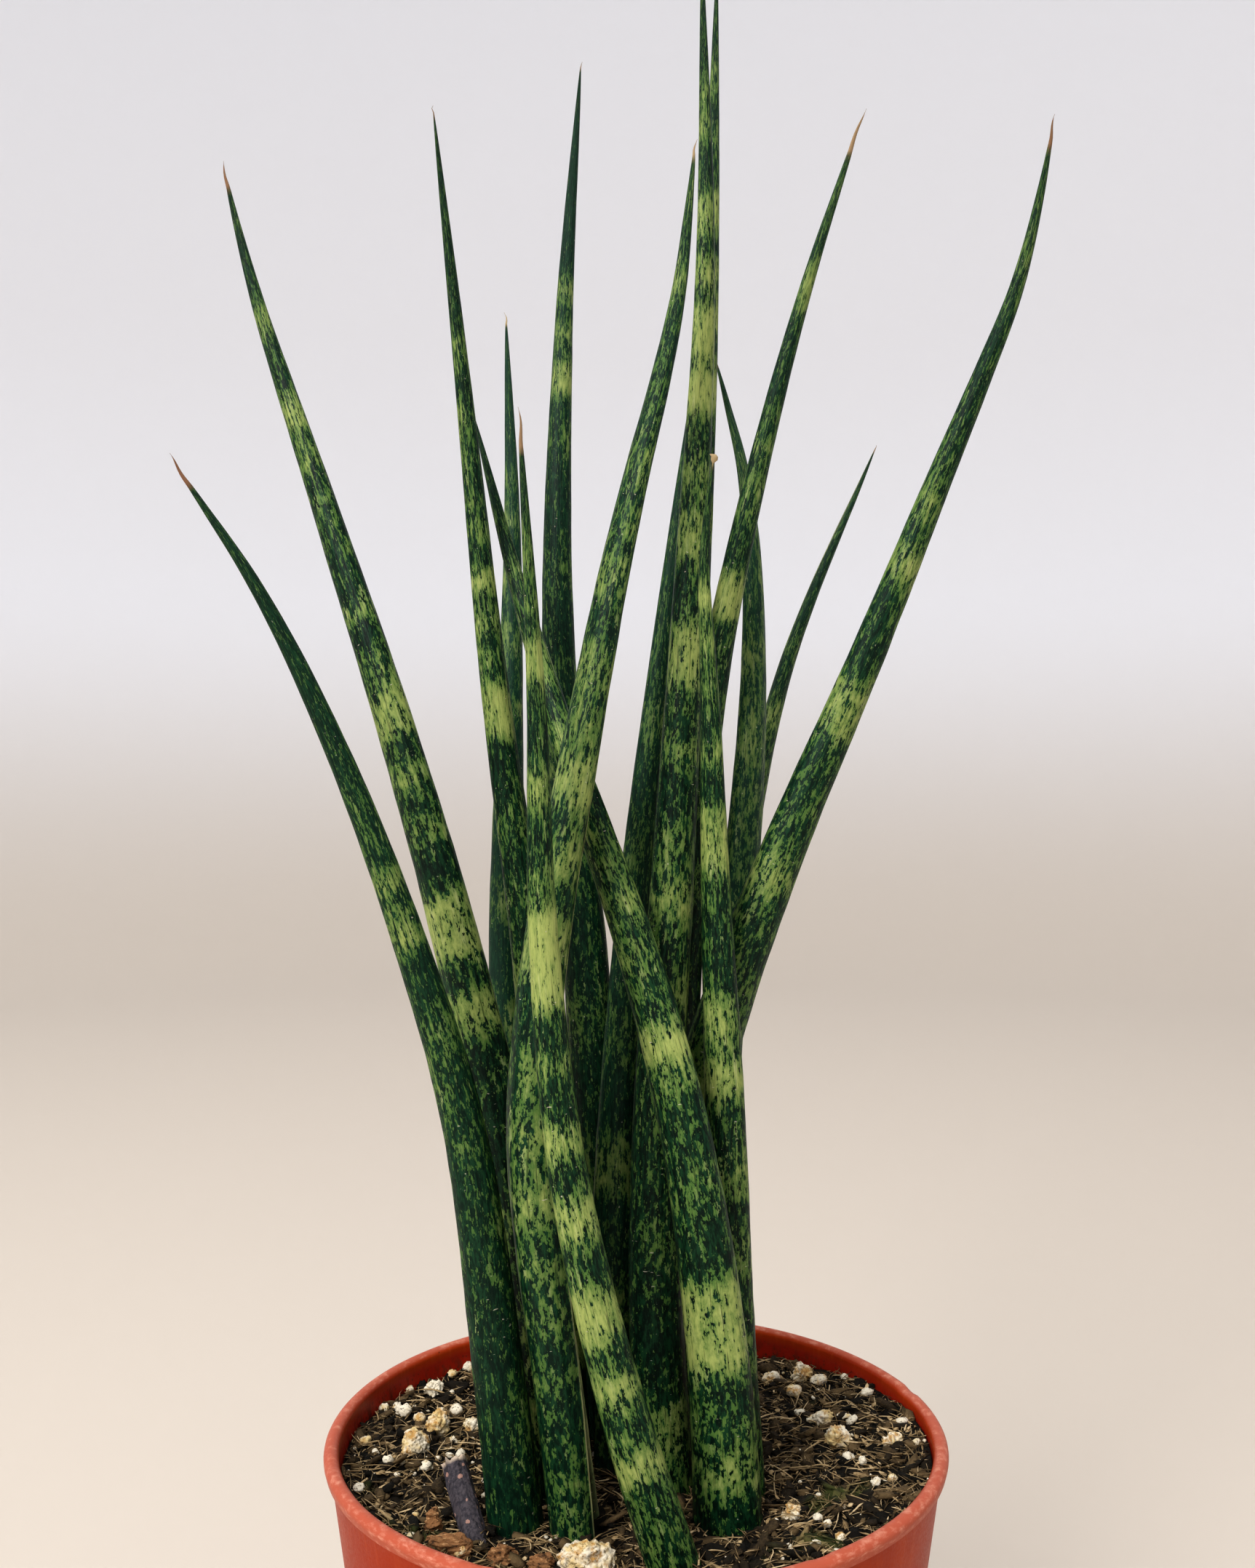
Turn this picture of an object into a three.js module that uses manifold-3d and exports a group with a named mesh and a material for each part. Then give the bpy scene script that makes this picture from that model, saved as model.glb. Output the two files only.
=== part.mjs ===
// Potted snake plant: sixteen channelled leaves on one rootstock, in potting mix, in a
// thin plastic nursery pot. Millimetres, +Z up. The origin is the centre of the pot's underside.
import * as THREE from 'three';
import { mergeVertices } from 'three/addons/utils/BufferGeometryUtils.js';
import Module from 'manifold-3d';

const wasm = await Module();
wasm.setup();

// Pot
const potHeight = 92;            // underside to the top of the lip
const rimRadius = 52.5;          // outside of the lip
const footRadius = 39;           // outside of the wall at the underside
const potWall = 1.4;
const lipProud = 1.1;            // lip beyond the wall
const lipDepth = 2.4;            // lip from top to underside
const floorTop = 3;              // inside floor above the surface it stands on
const footHeight = 1.5;          // foot ring and centre pad below the recessed floor
const footRingWidth = 4;
const centrePadRadius = 15;
const drainHoles = 6;
const drainHoleRadius = 4;
const notchWidth = 4;            // air notches through the foot ring
const notchHeight = 1.4;
const notchLength = footRingWidth * 5;   // longer than the ring is wide, so it cuts right through
const potSides = 40;
const drainHoleSides = 10;
const footBevel = [0.6, 1];      // across and up, at the outside of the foot
const lipBevel = 0.2;            // under the lip
const lipFlatness = 0.8;         // height of the lip's round top over half its width

// Potting mix
const soilDrop = 8;              // lip top to the mix among the leaves
const soilSideRise = 4.4;        // how much higher it lies against the wall on the left and right
const soilFrontRise = 1.6;       // the same at the front
const soilTilt = 1;              // right side up and left side down
const soilRings = 3;

// Clearances
const potGap = 0.35;             // mix to the inside of the pot
const plantGap = 0.4;            // mix to leaves and rootstock
const rootGap = 0.6;             // rootstock to the lowest point of a leaf
const pieceGap = 0.35;           // mix to the loose pieces lying in it

// Rootstock
const rootRadius = 5;
const rootSides = 6;
const crownHeight = potHeight - 22;   // where every leaf starts

// Leaves
const leafRings = 14;
const pocketRings = 3;           // leaf sections that the pocket in the mix takes in
const lengthSteps = 400;         // steps in which a leaf's length is measured
const leafTaper = 0.75;          // width falls as (1 - t) to this power
const leafDepth = 0.42;          // back of the leaf behind its widest line, as a share of width
const marginLift = 0.24;         // channel edges in front of the widest line, the same way
const marginSpread = 0.74;       // channel edges apart, as a share of width
const channelFloor = [-0.12, 0.16];   // channel floor at the foot and at the tip
const channelRise = 0.4;         // climb from the floor to the edges, a quarter of the way out
const footCentre = -0.18;        // middle of the foot's flat end, behind the widest line
const edgeGrowth = 1.6;          // a pocket's channel edges rise by this much of its clearance

// Each leaf: foot width, channel direction at foot and tip in degrees from +X, and the
// points that its middle line passes through, with their heights above the crown.
const leaves = [
  { width: 9.6, facing: [118, 118], path: [[-17.5, -20, 0], [-22, -21, 40], [-27.5, -23.5, 80],
    [-36, -26.5, 110], [-45, -29, 135], [-56.5, -32, 160], [-70, -34, 181]] },
  { width: 11, facing: [35, 60], path: [[-12.5, -9, 0], [-18.5, -8.5, 50], [-29, -6.5, 100],
    [-40.5, -4, 140], [-54, 0.5, 180], [-67.5, 4.5, 220], [-73, 6, 241.5]] },
  { width: 9.8, facing: [112, 105], path: [[-11.5, 2.5, 0], [-14, 2, 50], [-17.5, -1, 100],
    [-24, -3.5, 150], [-29.5, -6.5, 200], [-34.5, -10, 244]] },
  { width: 12, facing: [68, 72], path: [[15, -20, 0], [13, -19.5, 40], [7, -18.5, 80],
    [-1.5, -15.5, 110], [-10.5, -10, 135], [-20, -1, 165], [-28.5, 4, 197]] },
  { width: 9.4, facing: [90, 90], path: [[-13.5, 12, 0], [-17, 13, 45], [-22.5, 14.5, 90],
    [-23, 19.5, 135], [-23, 26, 179.5], [-25, 34, 224]] },
  { width: 8.6, facing: [108, 112], path: [[10.5, -33, 0], [-2.5, -33.5, 40], [-10.5, -33.5, 75],
    [-14, -34, 110], [-15, -35, 145], [-17.5, -36, 187.5]] },
  { width: 10.2, facing: [90, 90], path: [[-3, 12, 0], [-5.5, 12, 50], [-8.5, 12, 100],
    [-13.5, 14, 155], [-13, 19, 215], [-10, 24, 268]] },
  { width: 11.2, facing: [-8, 62], path: [[-7.5, -20.5, 0], [-12, -21, 40], [-16, -21.5, 75],
    [-14, -22, 105], [-9, -21, 135], [-2.5, -18.5, 170], [6.5, -14.5, 210], [9.5, -12, 237.5]] },
  { width: 9, facing: [98, 98], path: [[-2.5, 0.5, 0], [-3.5, 1.5, 50], [-0.5, 3, 106],
    [5, 5.5, 158], [11.5, 7, 211]] },
  { width: 10.5, facing: [110, 108], path: [[6, -8, 0], [3.5, -8, 40], [4, -8, 80],
    [6.5, -7, 120], [9.5, -5, 170], [12, -3, 220], [11.5, -1, 276]] },
  { width: 10.5, facing: [90, 90], path: [[0.5, 20, 0], [3.5, 18.5, 60], [8.5, 14, 130],
    [13, 13, 212], [15, 16, 283]] },
  { width: 10, facing: [78, 78], path: [[17.5, -10, 0], [15.5, -10.5, 40], [14.5, -11, 80],
    [13, -12, 115], [12, -13.5, 145], [11, -15, 170], [12.5, -16, 185]] },
  { width: 13, facing: [150, 168], path: [[16, 10, 0], [14.5, 10, 40], [15, 9.5, 80],
    [19, 9, 115], [21.5, 11, 150], [20.5, 14.5, 185], [15, 20, 211.5]] },
  { width: 9.8, facing: [112, 116], path: [[6.5, 9.5, 0], [6.5, 9.5, 50], [8, 7.5, 95],
    [11, 4, 130], [14.5, 0.5, 155], [21, -2, 185], [29, -4, 215], [39, -6, 245.5]] },
  { width: 9.8, facing: [120, 230], path: [[11.5, 20, 0], [13.5, 21, 52], [18.5, 24, 104],
    [29, 30.5, 153], [49, 42, 200]] },
  { width: 10.8, facing: [110, 110], path: [[7.5, 0.5, 0], [7.5, 0.5, 40], [10, -0.5, 70],
    [16.5, -2.5, 95], [25.5, -4, 120], [38, -6.5, 150], [51.5, -11.5, 185], [62.5, -16.5, 215],
    [66.5, -20, 238]] },
];

// The rootstock's branches, as runs from leaf to leaf by number.
const rootRuns = [[1, 8, 10, 16, 14, 15], [6, 4, 12, 16], [2, 9, 16], [3, 7, 14], [5, 7], [13, 14], [11, 15]];

// Loose pieces lying in the mix: middle in plan, size across, deep and high, and the turn in degrees.
const pumice = [
  { at: [-38.2, 2.8], size: [4.6, 4.4, 5], turn: 20 },
  { at: [-35.7, 10.8], size: [4.2, 4, 5], turn: 70 },
  { at: [-29.4, 12.6], size: [3.4, 3.2, 3.4], turn: 130 },
  { at: [-38.3, 26.6], size: [3.5, 3, 3.2], turn: 10 },
  { at: [-44.2, 17.2], size: [2, 4, 2.4], turn: 25 },
  { at: [-7.5, -32.6], size: [8, 5, 4.8], turn: 5 },
  { at: [32.2, 31.2], size: [4, 3.6, 5], turn: 50 },
  { at: [26.2, 31.8], size: [3.4, 3, 2.6], turn: 80 },
  { at: [33.4, 12.4], size: [4.4, 3.2, 3.2], turn: 15 },
  { at: [35.2, 3.4], size: [4.6, 4, 4.2], turn: 110 },
  { at: [44, -0.4], size: [3.4, 3, 2.6], turn: 30 },
  { at: [25, -19.6], size: [3, 2.6, 2.6], turn: 60 },
];
const bark = [
  { at: [-28.5, -30], size: [7, 4, 3.6], turn: -8 },
  { at: [-31.6, -23.6], size: [2.6, 3.2, 5], turn: 12 },
  { at: [-20.2, -32.8], size: [4.6, 3.4, 3.6], turn: 35 },
  { at: [-14.4, -33.4], size: [4, 3.4, 3.2], turn: -20 },
];
const lumpSink = 0.3;            // share of a piece's height that lies in the mix
const lumpSwell = 0.16;          // how uneven a piece is, as a share of its size
const lumpMix = [12.9, 78.2];    // spreads the swells over a piece's corners and from piece to piece
const hollowGrowth = 2.6;        // growth of a hollow's size for each millimetre of gap

// The stub of a cut stem, leaning out of the mix
const stubTop = new THREE.Vector3(-29.5, -16, potHeight + 1);
const stubFoot = new THREE.Vector3(-22.5, -30.5, potHeight - 12);
const stubRadius = 2.2;
const stubTaper = 0.95;          // radius at the foot over the radius at the top
const stubSides = 9;

const terracotta = new THREE.MeshStandardMaterial({ color: 0xc4452a, roughness: 0.45 });
const peat = new THREE.MeshStandardMaterial({ color: 0x33261c, roughness: 0.95 });
const leafGreen = new THREE.MeshStandardMaterial({ color: 0x2f4f2c, roughness: 0.5 });
const rootBuff = new THREE.MeshStandardMaterial({ color: 0xc7a878, roughness: 0.8 });
const pumiceCream = new THREE.MeshStandardMaterial({ color: 0xd8c79c, roughness: 0.95 });
const barkBrown = new THREE.MeshStandardMaterial({ color: 0x6b4428, roughness: 0.95 });
const stubGrey = new THREE.MeshStandardMaterial({ color: 0x3c3c44, roughness: 0.9 });

const group = new THREE.Group();

function addPiece(name, geometry, material) {
  const mesh = new THREE.Mesh(geometry, material);
  mesh.name = name;
  group.add(mesh);
}

function toSolid(geometry) {
  const bare = geometry.clone();
  bare.deleteAttribute('normal');
  bare.deleteAttribute('uv');
  const merged = mergeVertices(bare, 1e-4);
  return new wasm.Manifold(new wasm.Mesh({
    numProp: 3,
    vertProperties: new Float32Array(merged.attributes.position.array),
    triVerts: new Uint32Array(merged.index.array),
  }));
}

function toGeometry(solid) {
  const mesh = solid.getMesh();
  const geometry = new THREE.BufferGeometry();
  geometry.setAttribute('position', new THREE.BufferAttribute(new Float32Array(mesh.vertProperties), 3));
  geometry.setIndex(new THREE.BufferAttribute(new Uint32Array(mesh.triVerts), 1));
  geometry.computeVertexNormals();
  return geometry;
}

// Crescent section of a leaf, counter-clockwise seen from the tip: eight points round the back
// from one channel edge to the other, then three along the channel. grow widens it all round.
function leafSection(width, along, grow = 0) {
  const floor = THREE.MathUtils.lerp(channelFloor[0], channelFloor[1], along);
  const edge = Math.acos(marginSpread);
  const points = [];
  for (let i = 0; i < 8; i += 1) {
    const angle = Math.PI - edge + ((Math.PI + 2 * edge) * i) / 7;
    if (i === 0 || i === 7) {
      points.push([Math.cos(angle) * 0.5 * width, marginLift * width + edgeGrowth * grow]);
    } else {
      const lift = Math.sin(angle) > 0 ? marginLift / Math.sin(edge) : leafDepth;
      points.push([Math.cos(angle) * (0.5 * width + grow), Math.sin(angle) * (lift * width + grow)]);
    }
  }
  for (const side of [0.5, 0, -0.5]) {
    const rise = side === 0 ? floor : floor + (marginLift - floor) * channelRise;
    const inward = Math.sign(side) * grow;
    points.push([side * marginSpread * 0.5 * width - inward, rise * width + grow]);
  }
  return points;
}

function leafFrame(curve, leaf, along) {
  const centre = curve.getPointAt(along);
  const tangent = curve.getTangentAt(along);
  const facing = THREE.MathUtils.degToRad(THREE.MathUtils.lerp(leaf.facing[0], leaf.facing[1], along));
  const front = new THREE.Vector3(Math.cos(facing), Math.sin(facing), 0);
  front.addScaledVector(tangent, -front.dot(tangent)).normalize();
  const side = new THREE.Vector3().crossVectors(front, tangent);
  return { centre, side, front, tangent };
}

function leafCurve(leaf) {
  const curve = new THREE.CatmullRomCurve3(
    leaf.path.map(([x, y, rise]) => new THREE.Vector3(x, y, crownHeight + rise)));
  curve.arcLengthDivisions = lengthSteps;
  return curve;
}

// A closed skin over a leaf's sections at the given shares of its length. The foot's section can
// be carried down past the foot, and past the last section the skin ends in a point.
function leafSkin(leaf, shares, grow, footDrop) {
  const curve = leafCurve(leaf);
  const positions = [];
  const stops = footDrop > 0 ? [0, ...shares] : shares;
  const rings = stops.length;
  const sectionSize = leafSection(1, 0).length;
  const whole = grow === 0;
  const places = stops.map((along) => leafFrame(curve, leaf, along));
  places[0].centre.addScaledVector(places[0].tangent, -footDrop);
  places.forEach(({ centre, side, front }, ring) => {
    const width = leaf.width * (1 - stops[ring]) ** leafTaper;
    for (const [a, b] of leafSection(width, stops[ring], grow)) {
      const point = centre.clone().addScaledVector(side, a).addScaledVector(front, b);
      positions.push(point.x, point.y, point.z);
    }
  });
  const behind = leaf.width * footCentre;
  const last = places[rings - 1];
  positions.push(...places[0].centre.clone().addScaledVector(places[0].front, behind).toArray());
  positions.push(...(whole ? curve.getPointAt(1)
    : last.centre.clone().addScaledVector(last.front, behind)).toArray());
  const footIndex = rings * sectionSize;
  const index = [];
  for (let k = 0; k < sectionSize; k += 1) {
    const next = (k + 1) % sectionSize;
    index.push(footIndex, next, k);
    for (let ring = 0; ring < rings - 1; ring += 1) {
      const low = ring * sectionSize;
      const high = low + sectionSize;
      index.push(low + k, low + next, high + next, low + k, high + next, high + k);
    }
    const top = (rings - 1) * sectionSize;
    index.push(top + k, top + next, footIndex + 1);
  }
  const geometry = new THREE.BufferGeometry();
  geometry.setAttribute('position', new THREE.Float32BufferAttribute(positions, 3));
  geometry.setIndex(index);
  geometry.computeVertexNormals();
  return geometry;
}

// Shares of the length where a leaf has its sections, closer together towards the tip.
const leafShares = Array.from({ length: leafRings }, (_, ring) => 1 - (1 - ring / leafRings) ** 1.15);

function leafGeometry(leaf) {
  return leafSkin(leaf, leafShares, 0, 0);
}

// The pocket in the mix that a leaf stands in, open to the rootstock below and to the air above.
function pocketGeometry(leaf) {
  return leafSkin(leaf, leafShares.slice(0, pocketRings), plantGap, rootGap + rootRadius / 2);
}

// Outside and inside radius of the pot's wall at a height.
function wallRadius(z) {
  const top = potHeight - lipDepth;
  return THREE.MathUtils.lerp(footRadius, rimRadius - lipProud, z / top);
}

function insideRadius(z) {
  return wallRadius(z) - potWall;
}

function potGeometry() {
  const lipFoot = potHeight - lipDepth;
  const lipWidth = lipProud + potWall;
  const lipMiddle = rimRadius - lipWidth / 2;
  const profile = [
    [0, 0], [centrePadRadius, 0], [centrePadRadius + footHeight, footHeight],
    [footRadius - footRingWidth - footHeight, footHeight], [footRadius - footRingWidth, 0],
    [footRadius - footBevel[0], 0], [wallRadius(footBevel[1]), footBevel[1]],
    [wallRadius(lipFoot), lipFoot], [rimRadius - lipBevel, lipFoot + lipBevel],
  ];
  const bend = lipWidth / 2;
  const crown = bend * lipFlatness;
  for (let i = 0; i <= 4; i += 1) {
    const angle = (Math.PI * i) / 4;
    profile.push([lipMiddle + Math.cos(angle) * bend, potHeight - crown + Math.sin(angle) * crown]);
  }
  profile.push([insideRadius(lipFoot), lipFoot], [insideRadius(floorTop), floorTop], [0, floorTop]);
  const shape = new THREE.LatheGeometry(profile.map(([r, z]) => new THREE.Vector2(r, z)), potSides);
  shape.rotateX(Math.PI / 2);
  let pot = toSolid(shape);
  if (pot.volume() < 0) throw new Error('pot is inside out');
  const holeRing = (centrePadRadius + footRadius - footRingWidth) / 2;
  for (let i = 0; i < drainHoles; i += 1) {
    const angle = (2 * Math.PI * i) / drainHoles;
    const hole = new THREE.CylinderGeometry(
      drainHoleRadius, drainHoleRadius, floorTop * 3, drainHoleSides);
    hole.rotateX(Math.PI / 2);
    hole.translate(Math.cos(angle) * holeRing, Math.sin(angle) * holeRing, 0);
    const notch = new THREE.BoxGeometry(notchLength, notchWidth, notchHeight * 2);
    notch.translate(footRadius, 0, 0);
    notch.rotateZ(angle + Math.PI / drainHoles);
    pot = pot.subtract(toSolid(hole)).subtract(toSolid(notch));
  }
  return toGeometry(pot);
}

// Height of the mix at a point in plan.
function soilHeight(x, y) {
  const reach = insideRadius(potHeight - soilDrop);
  const front = Math.max(0, -y / reach);
  return potHeight - soilDrop + soilSideRise * (x / reach) ** 2 + (soilTilt * x) / reach
    + soilFrontRise * front ** 2;
}

// A straight run of rootstock between two leaves' feet, round at both ends.
function rootRun(from, to, radius, top) {
  const a = new THREE.Vector3(from[0], from[1], top - rootRadius);
  const b = new THREE.Vector3(to[0], to[1], top - rootRadius);
  const run = new THREE.CapsuleGeometry(radius, a.distanceTo(b), 1, rootSides);
  run.applyQuaternion(new THREE.Quaternion().setFromUnitVectors(
    new THREE.Vector3(0, 1, 0), b.clone().sub(a).normalize()));
  const middle = a.add(b).multiplyScalar(0.5);
  run.translate(middle.x, middle.y, middle.z);
  return toSolid(run);
}

function rootSolid(radius) {
  const lowest = Math.min(...leaves.map((leaf) => {
    const geometry = leafGeometry(leaf);
    geometry.computeBoundingBox();
    return geometry.boundingBox.min.z;
  }));
  const runs = rootRuns.flatMap((run) => run.slice(1).map((to, i) => (
    rootRun(leaves[run[i] - 1].path[0], leaves[to - 1].path[0], radius, lowest - rootGap))));
  return runs.reduce((joined, run) => joined.add(run));
}

// A loose piece's place, moved inwards where it would touch the pot's wall.
function keptInside(piece) {
  const away = Math.hypot(...piece.at);
  const widest = (Math.max(...piece.size) / 2) * (1 + lumpSwell);
  const room = insideRadius(potHeight - soilDrop) - widest - potGap;
  return away > room ? piece.at.map((v) => (v * room) / away) : piece.at;
}

// An uneven lump, grown on every side by a gap for the hollow that it lies in.
function lumpGeometry(piece, seed, gap = 0) {
  const ball = new THREE.IcosahedronGeometry(0.5, 1);
  const lump = mergeVertices(ball.deleteAttribute('normal').deleteAttribute('uv'));
  const position = lump.attributes.position;
  for (let i = 0; i < position.count; i += 1) {
    const swell = 1 + lumpSwell * Math.sin(lumpMix[0] * i + lumpMix[1] * seed);
    position.setXYZ(i, position.getX(i) * swell, position.getY(i) * swell, position.getZ(i) * swell);
  }
  const [across, deep, high] = piece.size;
  const growth = hollowGrowth * gap;
  lump.scale(across + growth, deep + growth, high + growth);
  lump.rotateZ(THREE.MathUtils.degToRad(piece.turn));
  const [x, y] = keptInside(piece);
  lump.translate(x, y, soilHeight(x, y) + (0.5 - lumpSink) * high);
  lump.computeVertexNormals();
  return lump;
}

function stubGeometry(gap = 0) {
  const axis = stubTop.clone().sub(stubFoot);
  const stub = new THREE.CylinderGeometry(stubRadius + gap, stubRadius * stubTaper + gap,
    axis.length() + 2 * gap, stubSides, 2);
  stub.applyQuaternion(new THREE.Quaternion().setFromUnitVectors(
    new THREE.Vector3(0, 1, 0), axis.clone().normalize()));
  const middle = stubTop.clone().add(stubFoot).multiplyScalar(0.5);
  stub.translate(middle.x, middle.y, middle.z);
  return stub;
}

function soilGeometry() {
  const under = floorTop + potGap;
  const positions = [0, 0, under];
  const index = [];
  const edge = potHeight - soilDrop;
  const rings = [[insideRadius(under) - potGap, false]];
  for (let ring = soilRings; ring > 0; ring -= 1) rings.push([ring / soilRings, true]);
  for (const [reach, onTop] of rings) {
    for (let k = 0; k < potSides; k += 1) {
      const angle = (2 * Math.PI * k) / potSides;
      let radius = onTop ? reach * (insideRadius(edge) - potGap) : reach;
      let z = onTop ? soilHeight(Math.cos(angle) * radius, Math.sin(angle) * radius) : under;
      if (onTop && reach === 1) {
        radius = insideRadius(z) - potGap;
        z = soilHeight(Math.cos(angle) * radius, Math.sin(angle) * radius);
      }
      positions.push(Math.cos(angle) * radius, Math.sin(angle) * radius, z);
    }
  }
  positions.push(0, 0, soilHeight(0, 0));
  const last = 1 + rings.length * potSides;
  for (let k = 0; k < potSides; k += 1) {
    const next = (k + 1) % potSides;
    index.push(0, 1 + next, 1 + k);
    for (let ring = 0; ring < rings.length - 1; ring += 1) {
      const low = 1 + ring * potSides;
      const high = low + potSides;
      index.push(low + k, low + next, high + next, low + k, high + next, high + k);
    }
    index.push(last - potSides + k, last - potSides + next, last);
  }
  const block = new THREE.BufferGeometry();
  block.setAttribute('position', new THREE.Float32BufferAttribute(positions, 3));
  block.setIndex(index);

  let soil = toSolid(block).subtract(rootSolid(rootRadius + plantGap / Math.cos(Math.PI / rootSides)));
  for (const leaf of leaves) soil = soil.subtract(toSolid(pocketGeometry(leaf)));
  pumice.forEach((piece, i) => { soil = soil.subtract(toSolid(lumpGeometry(piece, i, pieceGap))); });
  bark.forEach((piece, i) => {
    soil = soil.subtract(toSolid(lumpGeometry(piece, i + pumice.length, pieceGap)));
  });
  soil = soil.subtract(toSolid(stubGeometry(pieceGap)));
  return toGeometry(largestBody(soil));
}

// Thin crumbs of mix cut off between two leaves are dropped.
function largestBody(solid) {
  return solid.decompose().reduce((best, body) => (body.volume() > best.volume() ? body : best));
}

addPiece('pot', potGeometry(), terracotta);
addPiece('potting_mix', soilGeometry(), peat);
addPiece('rootstock', toGeometry(rootSolid(rootRadius)), rootBuff);

leaves.forEach((leaf, i) => {
  addPiece(`leaf_${String(i + 1).padStart(2, '0')}`, leafGeometry(leaf), leafGreen);
});

pumice.forEach((piece, i) => {
  addPiece(`pumice_${String(i + 1).padStart(2, '0')}`, lumpGeometry(piece, i), pumiceCream);
});

bark.forEach((piece, i) => {
  addPiece(`bark_${String(i + 1).padStart(2, '0')}`, lumpGeometry(piece, i + pumice.length), barkBrown);
});

addPiece('stem_stub', stubGeometry(), stubGrey);

export default group;
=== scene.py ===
import bpy
import bmesh
import math
import random
import numpy as np
from mathutils import Matrix, Vector, noise


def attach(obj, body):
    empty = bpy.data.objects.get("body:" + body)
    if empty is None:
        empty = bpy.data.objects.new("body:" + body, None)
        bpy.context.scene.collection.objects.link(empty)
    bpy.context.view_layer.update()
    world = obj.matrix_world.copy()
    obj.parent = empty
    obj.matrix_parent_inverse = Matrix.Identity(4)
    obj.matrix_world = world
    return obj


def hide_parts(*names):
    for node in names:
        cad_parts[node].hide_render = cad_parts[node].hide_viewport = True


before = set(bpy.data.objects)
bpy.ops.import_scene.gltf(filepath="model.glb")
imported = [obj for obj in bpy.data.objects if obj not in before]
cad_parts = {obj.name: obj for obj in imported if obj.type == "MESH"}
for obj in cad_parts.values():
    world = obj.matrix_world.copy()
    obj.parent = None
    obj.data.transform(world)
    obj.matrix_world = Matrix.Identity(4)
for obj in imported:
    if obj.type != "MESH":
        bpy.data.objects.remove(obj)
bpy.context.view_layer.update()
mm = 0.001
print("frame loaded:", len(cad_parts), "nodes")


def letGo():
    if bpy.context.object and bpy.context.object.mode != "OBJECT":
        bpy.ops.object.mode_set(mode="OBJECT")
    bpy.ops.object.select_all(action="DESELECT")


def pick(piece):
    letGo()
    piece.select_set(True)
    bpy.context.view_layer.objects.active = piece


def editAll(piece):
    pick(piece)
    bpy.ops.object.mode_set(mode="EDIT")
    bpy.ops.mesh.select_all(action="SELECT")


def newObject(name, data):
    made = bpy.data.objects.new(name, data)
    bpy.context.scene.collection.objects.link(made)
    return made


def newGrid(name, across, along, size=1):
    letGo()
    bpy.ops.mesh.primitive_grid_add(x_subdivisions=across, y_subdivisions=along, size=size)
    piece = bpy.context.object
    piece.name = name
    return piece


def weld(piece, gap, outward=True):
    # Joins points closer than the gap, in millimetres, and turns the faces outwards
    editAll(piece)
    bpy.ops.mesh.remove_doubles(threshold=gap * mm)
    if outward:
        bpy.ops.mesh.select_all(action="SELECT")
        bpy.ops.mesh.normals_make_consistent(inside=False)
    bpy.ops.object.mode_set(mode="OBJECT")


def spun(name, points, steps):
    # A line of radius and height, in metres, turned once round the pot's axis
    mesh = bpy.data.meshes.new(name)
    mesh.from_pydata([(r, 0, z) for r, z in points], [(i, i + 1) for i in range(len(points) - 1)], [])
    piece = newObject(name, mesh)
    editAll(piece)
    bpy.ops.mesh.spin(steps=steps, angle=2 * math.pi, center=(0, 0, 0), axis=(0, 0, 1))
    return piece


def mergedCopy(node, name):
    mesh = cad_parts[node].data.copy()
    mesh.materials.clear()
    piece = newObject(name, mesh)
    weld(piece, 0.002, outward=False)
    return piece


def places(mesh):
    co = np.empty(len(mesh.vertices) * 3)
    mesh.vertices.foreach_get("co", co)
    return co.reshape(-1, 3)


def setPlaces(mesh, co):
    mesh.vertices.foreach_set("co", np.asarray(co, float).ravel())
    mesh.update()


def paint(mesh, name, values):
    values = np.asarray(values, float)
    if values.ndim == 2:
        layer = mesh.attributes.new(name, "FLOAT_VECTOR", "POINT")
        layer.data.foreach_set("vector", values.ravel())
    else:
        layer = mesh.attributes.new(name, "FLOAT", "POINT")
        layer.data.foreach_set("value", values)


def finishPiece(piece, material, slot, *nodes, angle=None):
    pick(piece)
    if angle is None:
        bpy.ops.object.shade_smooth()
    else:
        bpy.ops.object.shade_smooth_by_angle(angle=math.radians(angle))
    piece.data.materials.clear()
    piece.data.materials.append(material)
    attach(piece, "root")
    if nodes:
        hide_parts(*nodes)
    letGo()
    return piece


def srgb(r, g, b):
    def line(v):
        v /= 255
        return v / 12.92 if v <= 0.04045 else ((v + 0.055) / 1.055) ** 2.4
    return (line(r), line(g), line(b), 1)


def between(pair, share):
    return pair[0] + (pair[1] - pair[0]) * share


# Shader nodes are laid with these; a feed is a number, a colour or another node's socket
def shaderNode(tree, kind, feeds=None, **settings):
    made = tree.nodes.new(kind)
    for key, value in settings.items():
        setattr(made, key, value)
    for key, value in (feeds or {}).items():
        if isinstance(value, bpy.types.NodeSocket):
            tree.links.new(value, made.inputs[key])
        else:
            made.inputs[key].default_value = value
    return made


def calc(tree, how, a, b=0.0, c=0.0, clamp=False):
    return shaderNode(tree, "ShaderNodeMath", {0: a, 1: b, 2: c}, operation=how, use_clamp=clamp).outputs[0]


def times(tree, a, b):
    return calc(tree, "MULTIPLY", a, b)


def swing(tree, pattern, amount, base):
    # The base, raised and lowered by a pattern that runs from 0 to 1
    return calc(tree, "MULTIPLY_ADD", calc(tree, "SUBTRACT", pattern, 0.5), amount, base)


def spread(tree, value, low, high, to=(0.0, 1.0)):
    made = shaderNode(tree, "ShaderNodeMapRange", {"Value": value, "From Min": low, "From Max": high,
                      "To Min": to[0], "To Max": to[1]}, interpolation_type="SMOOTHSTEP")
    return made.outputs["Result"]


def stretched(tree, place, scale):
    return shaderNode(tree, "ShaderNodeVectorMath", {0: place, 1: scale}, operation="MULTIPLY").outputs[0]


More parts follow.
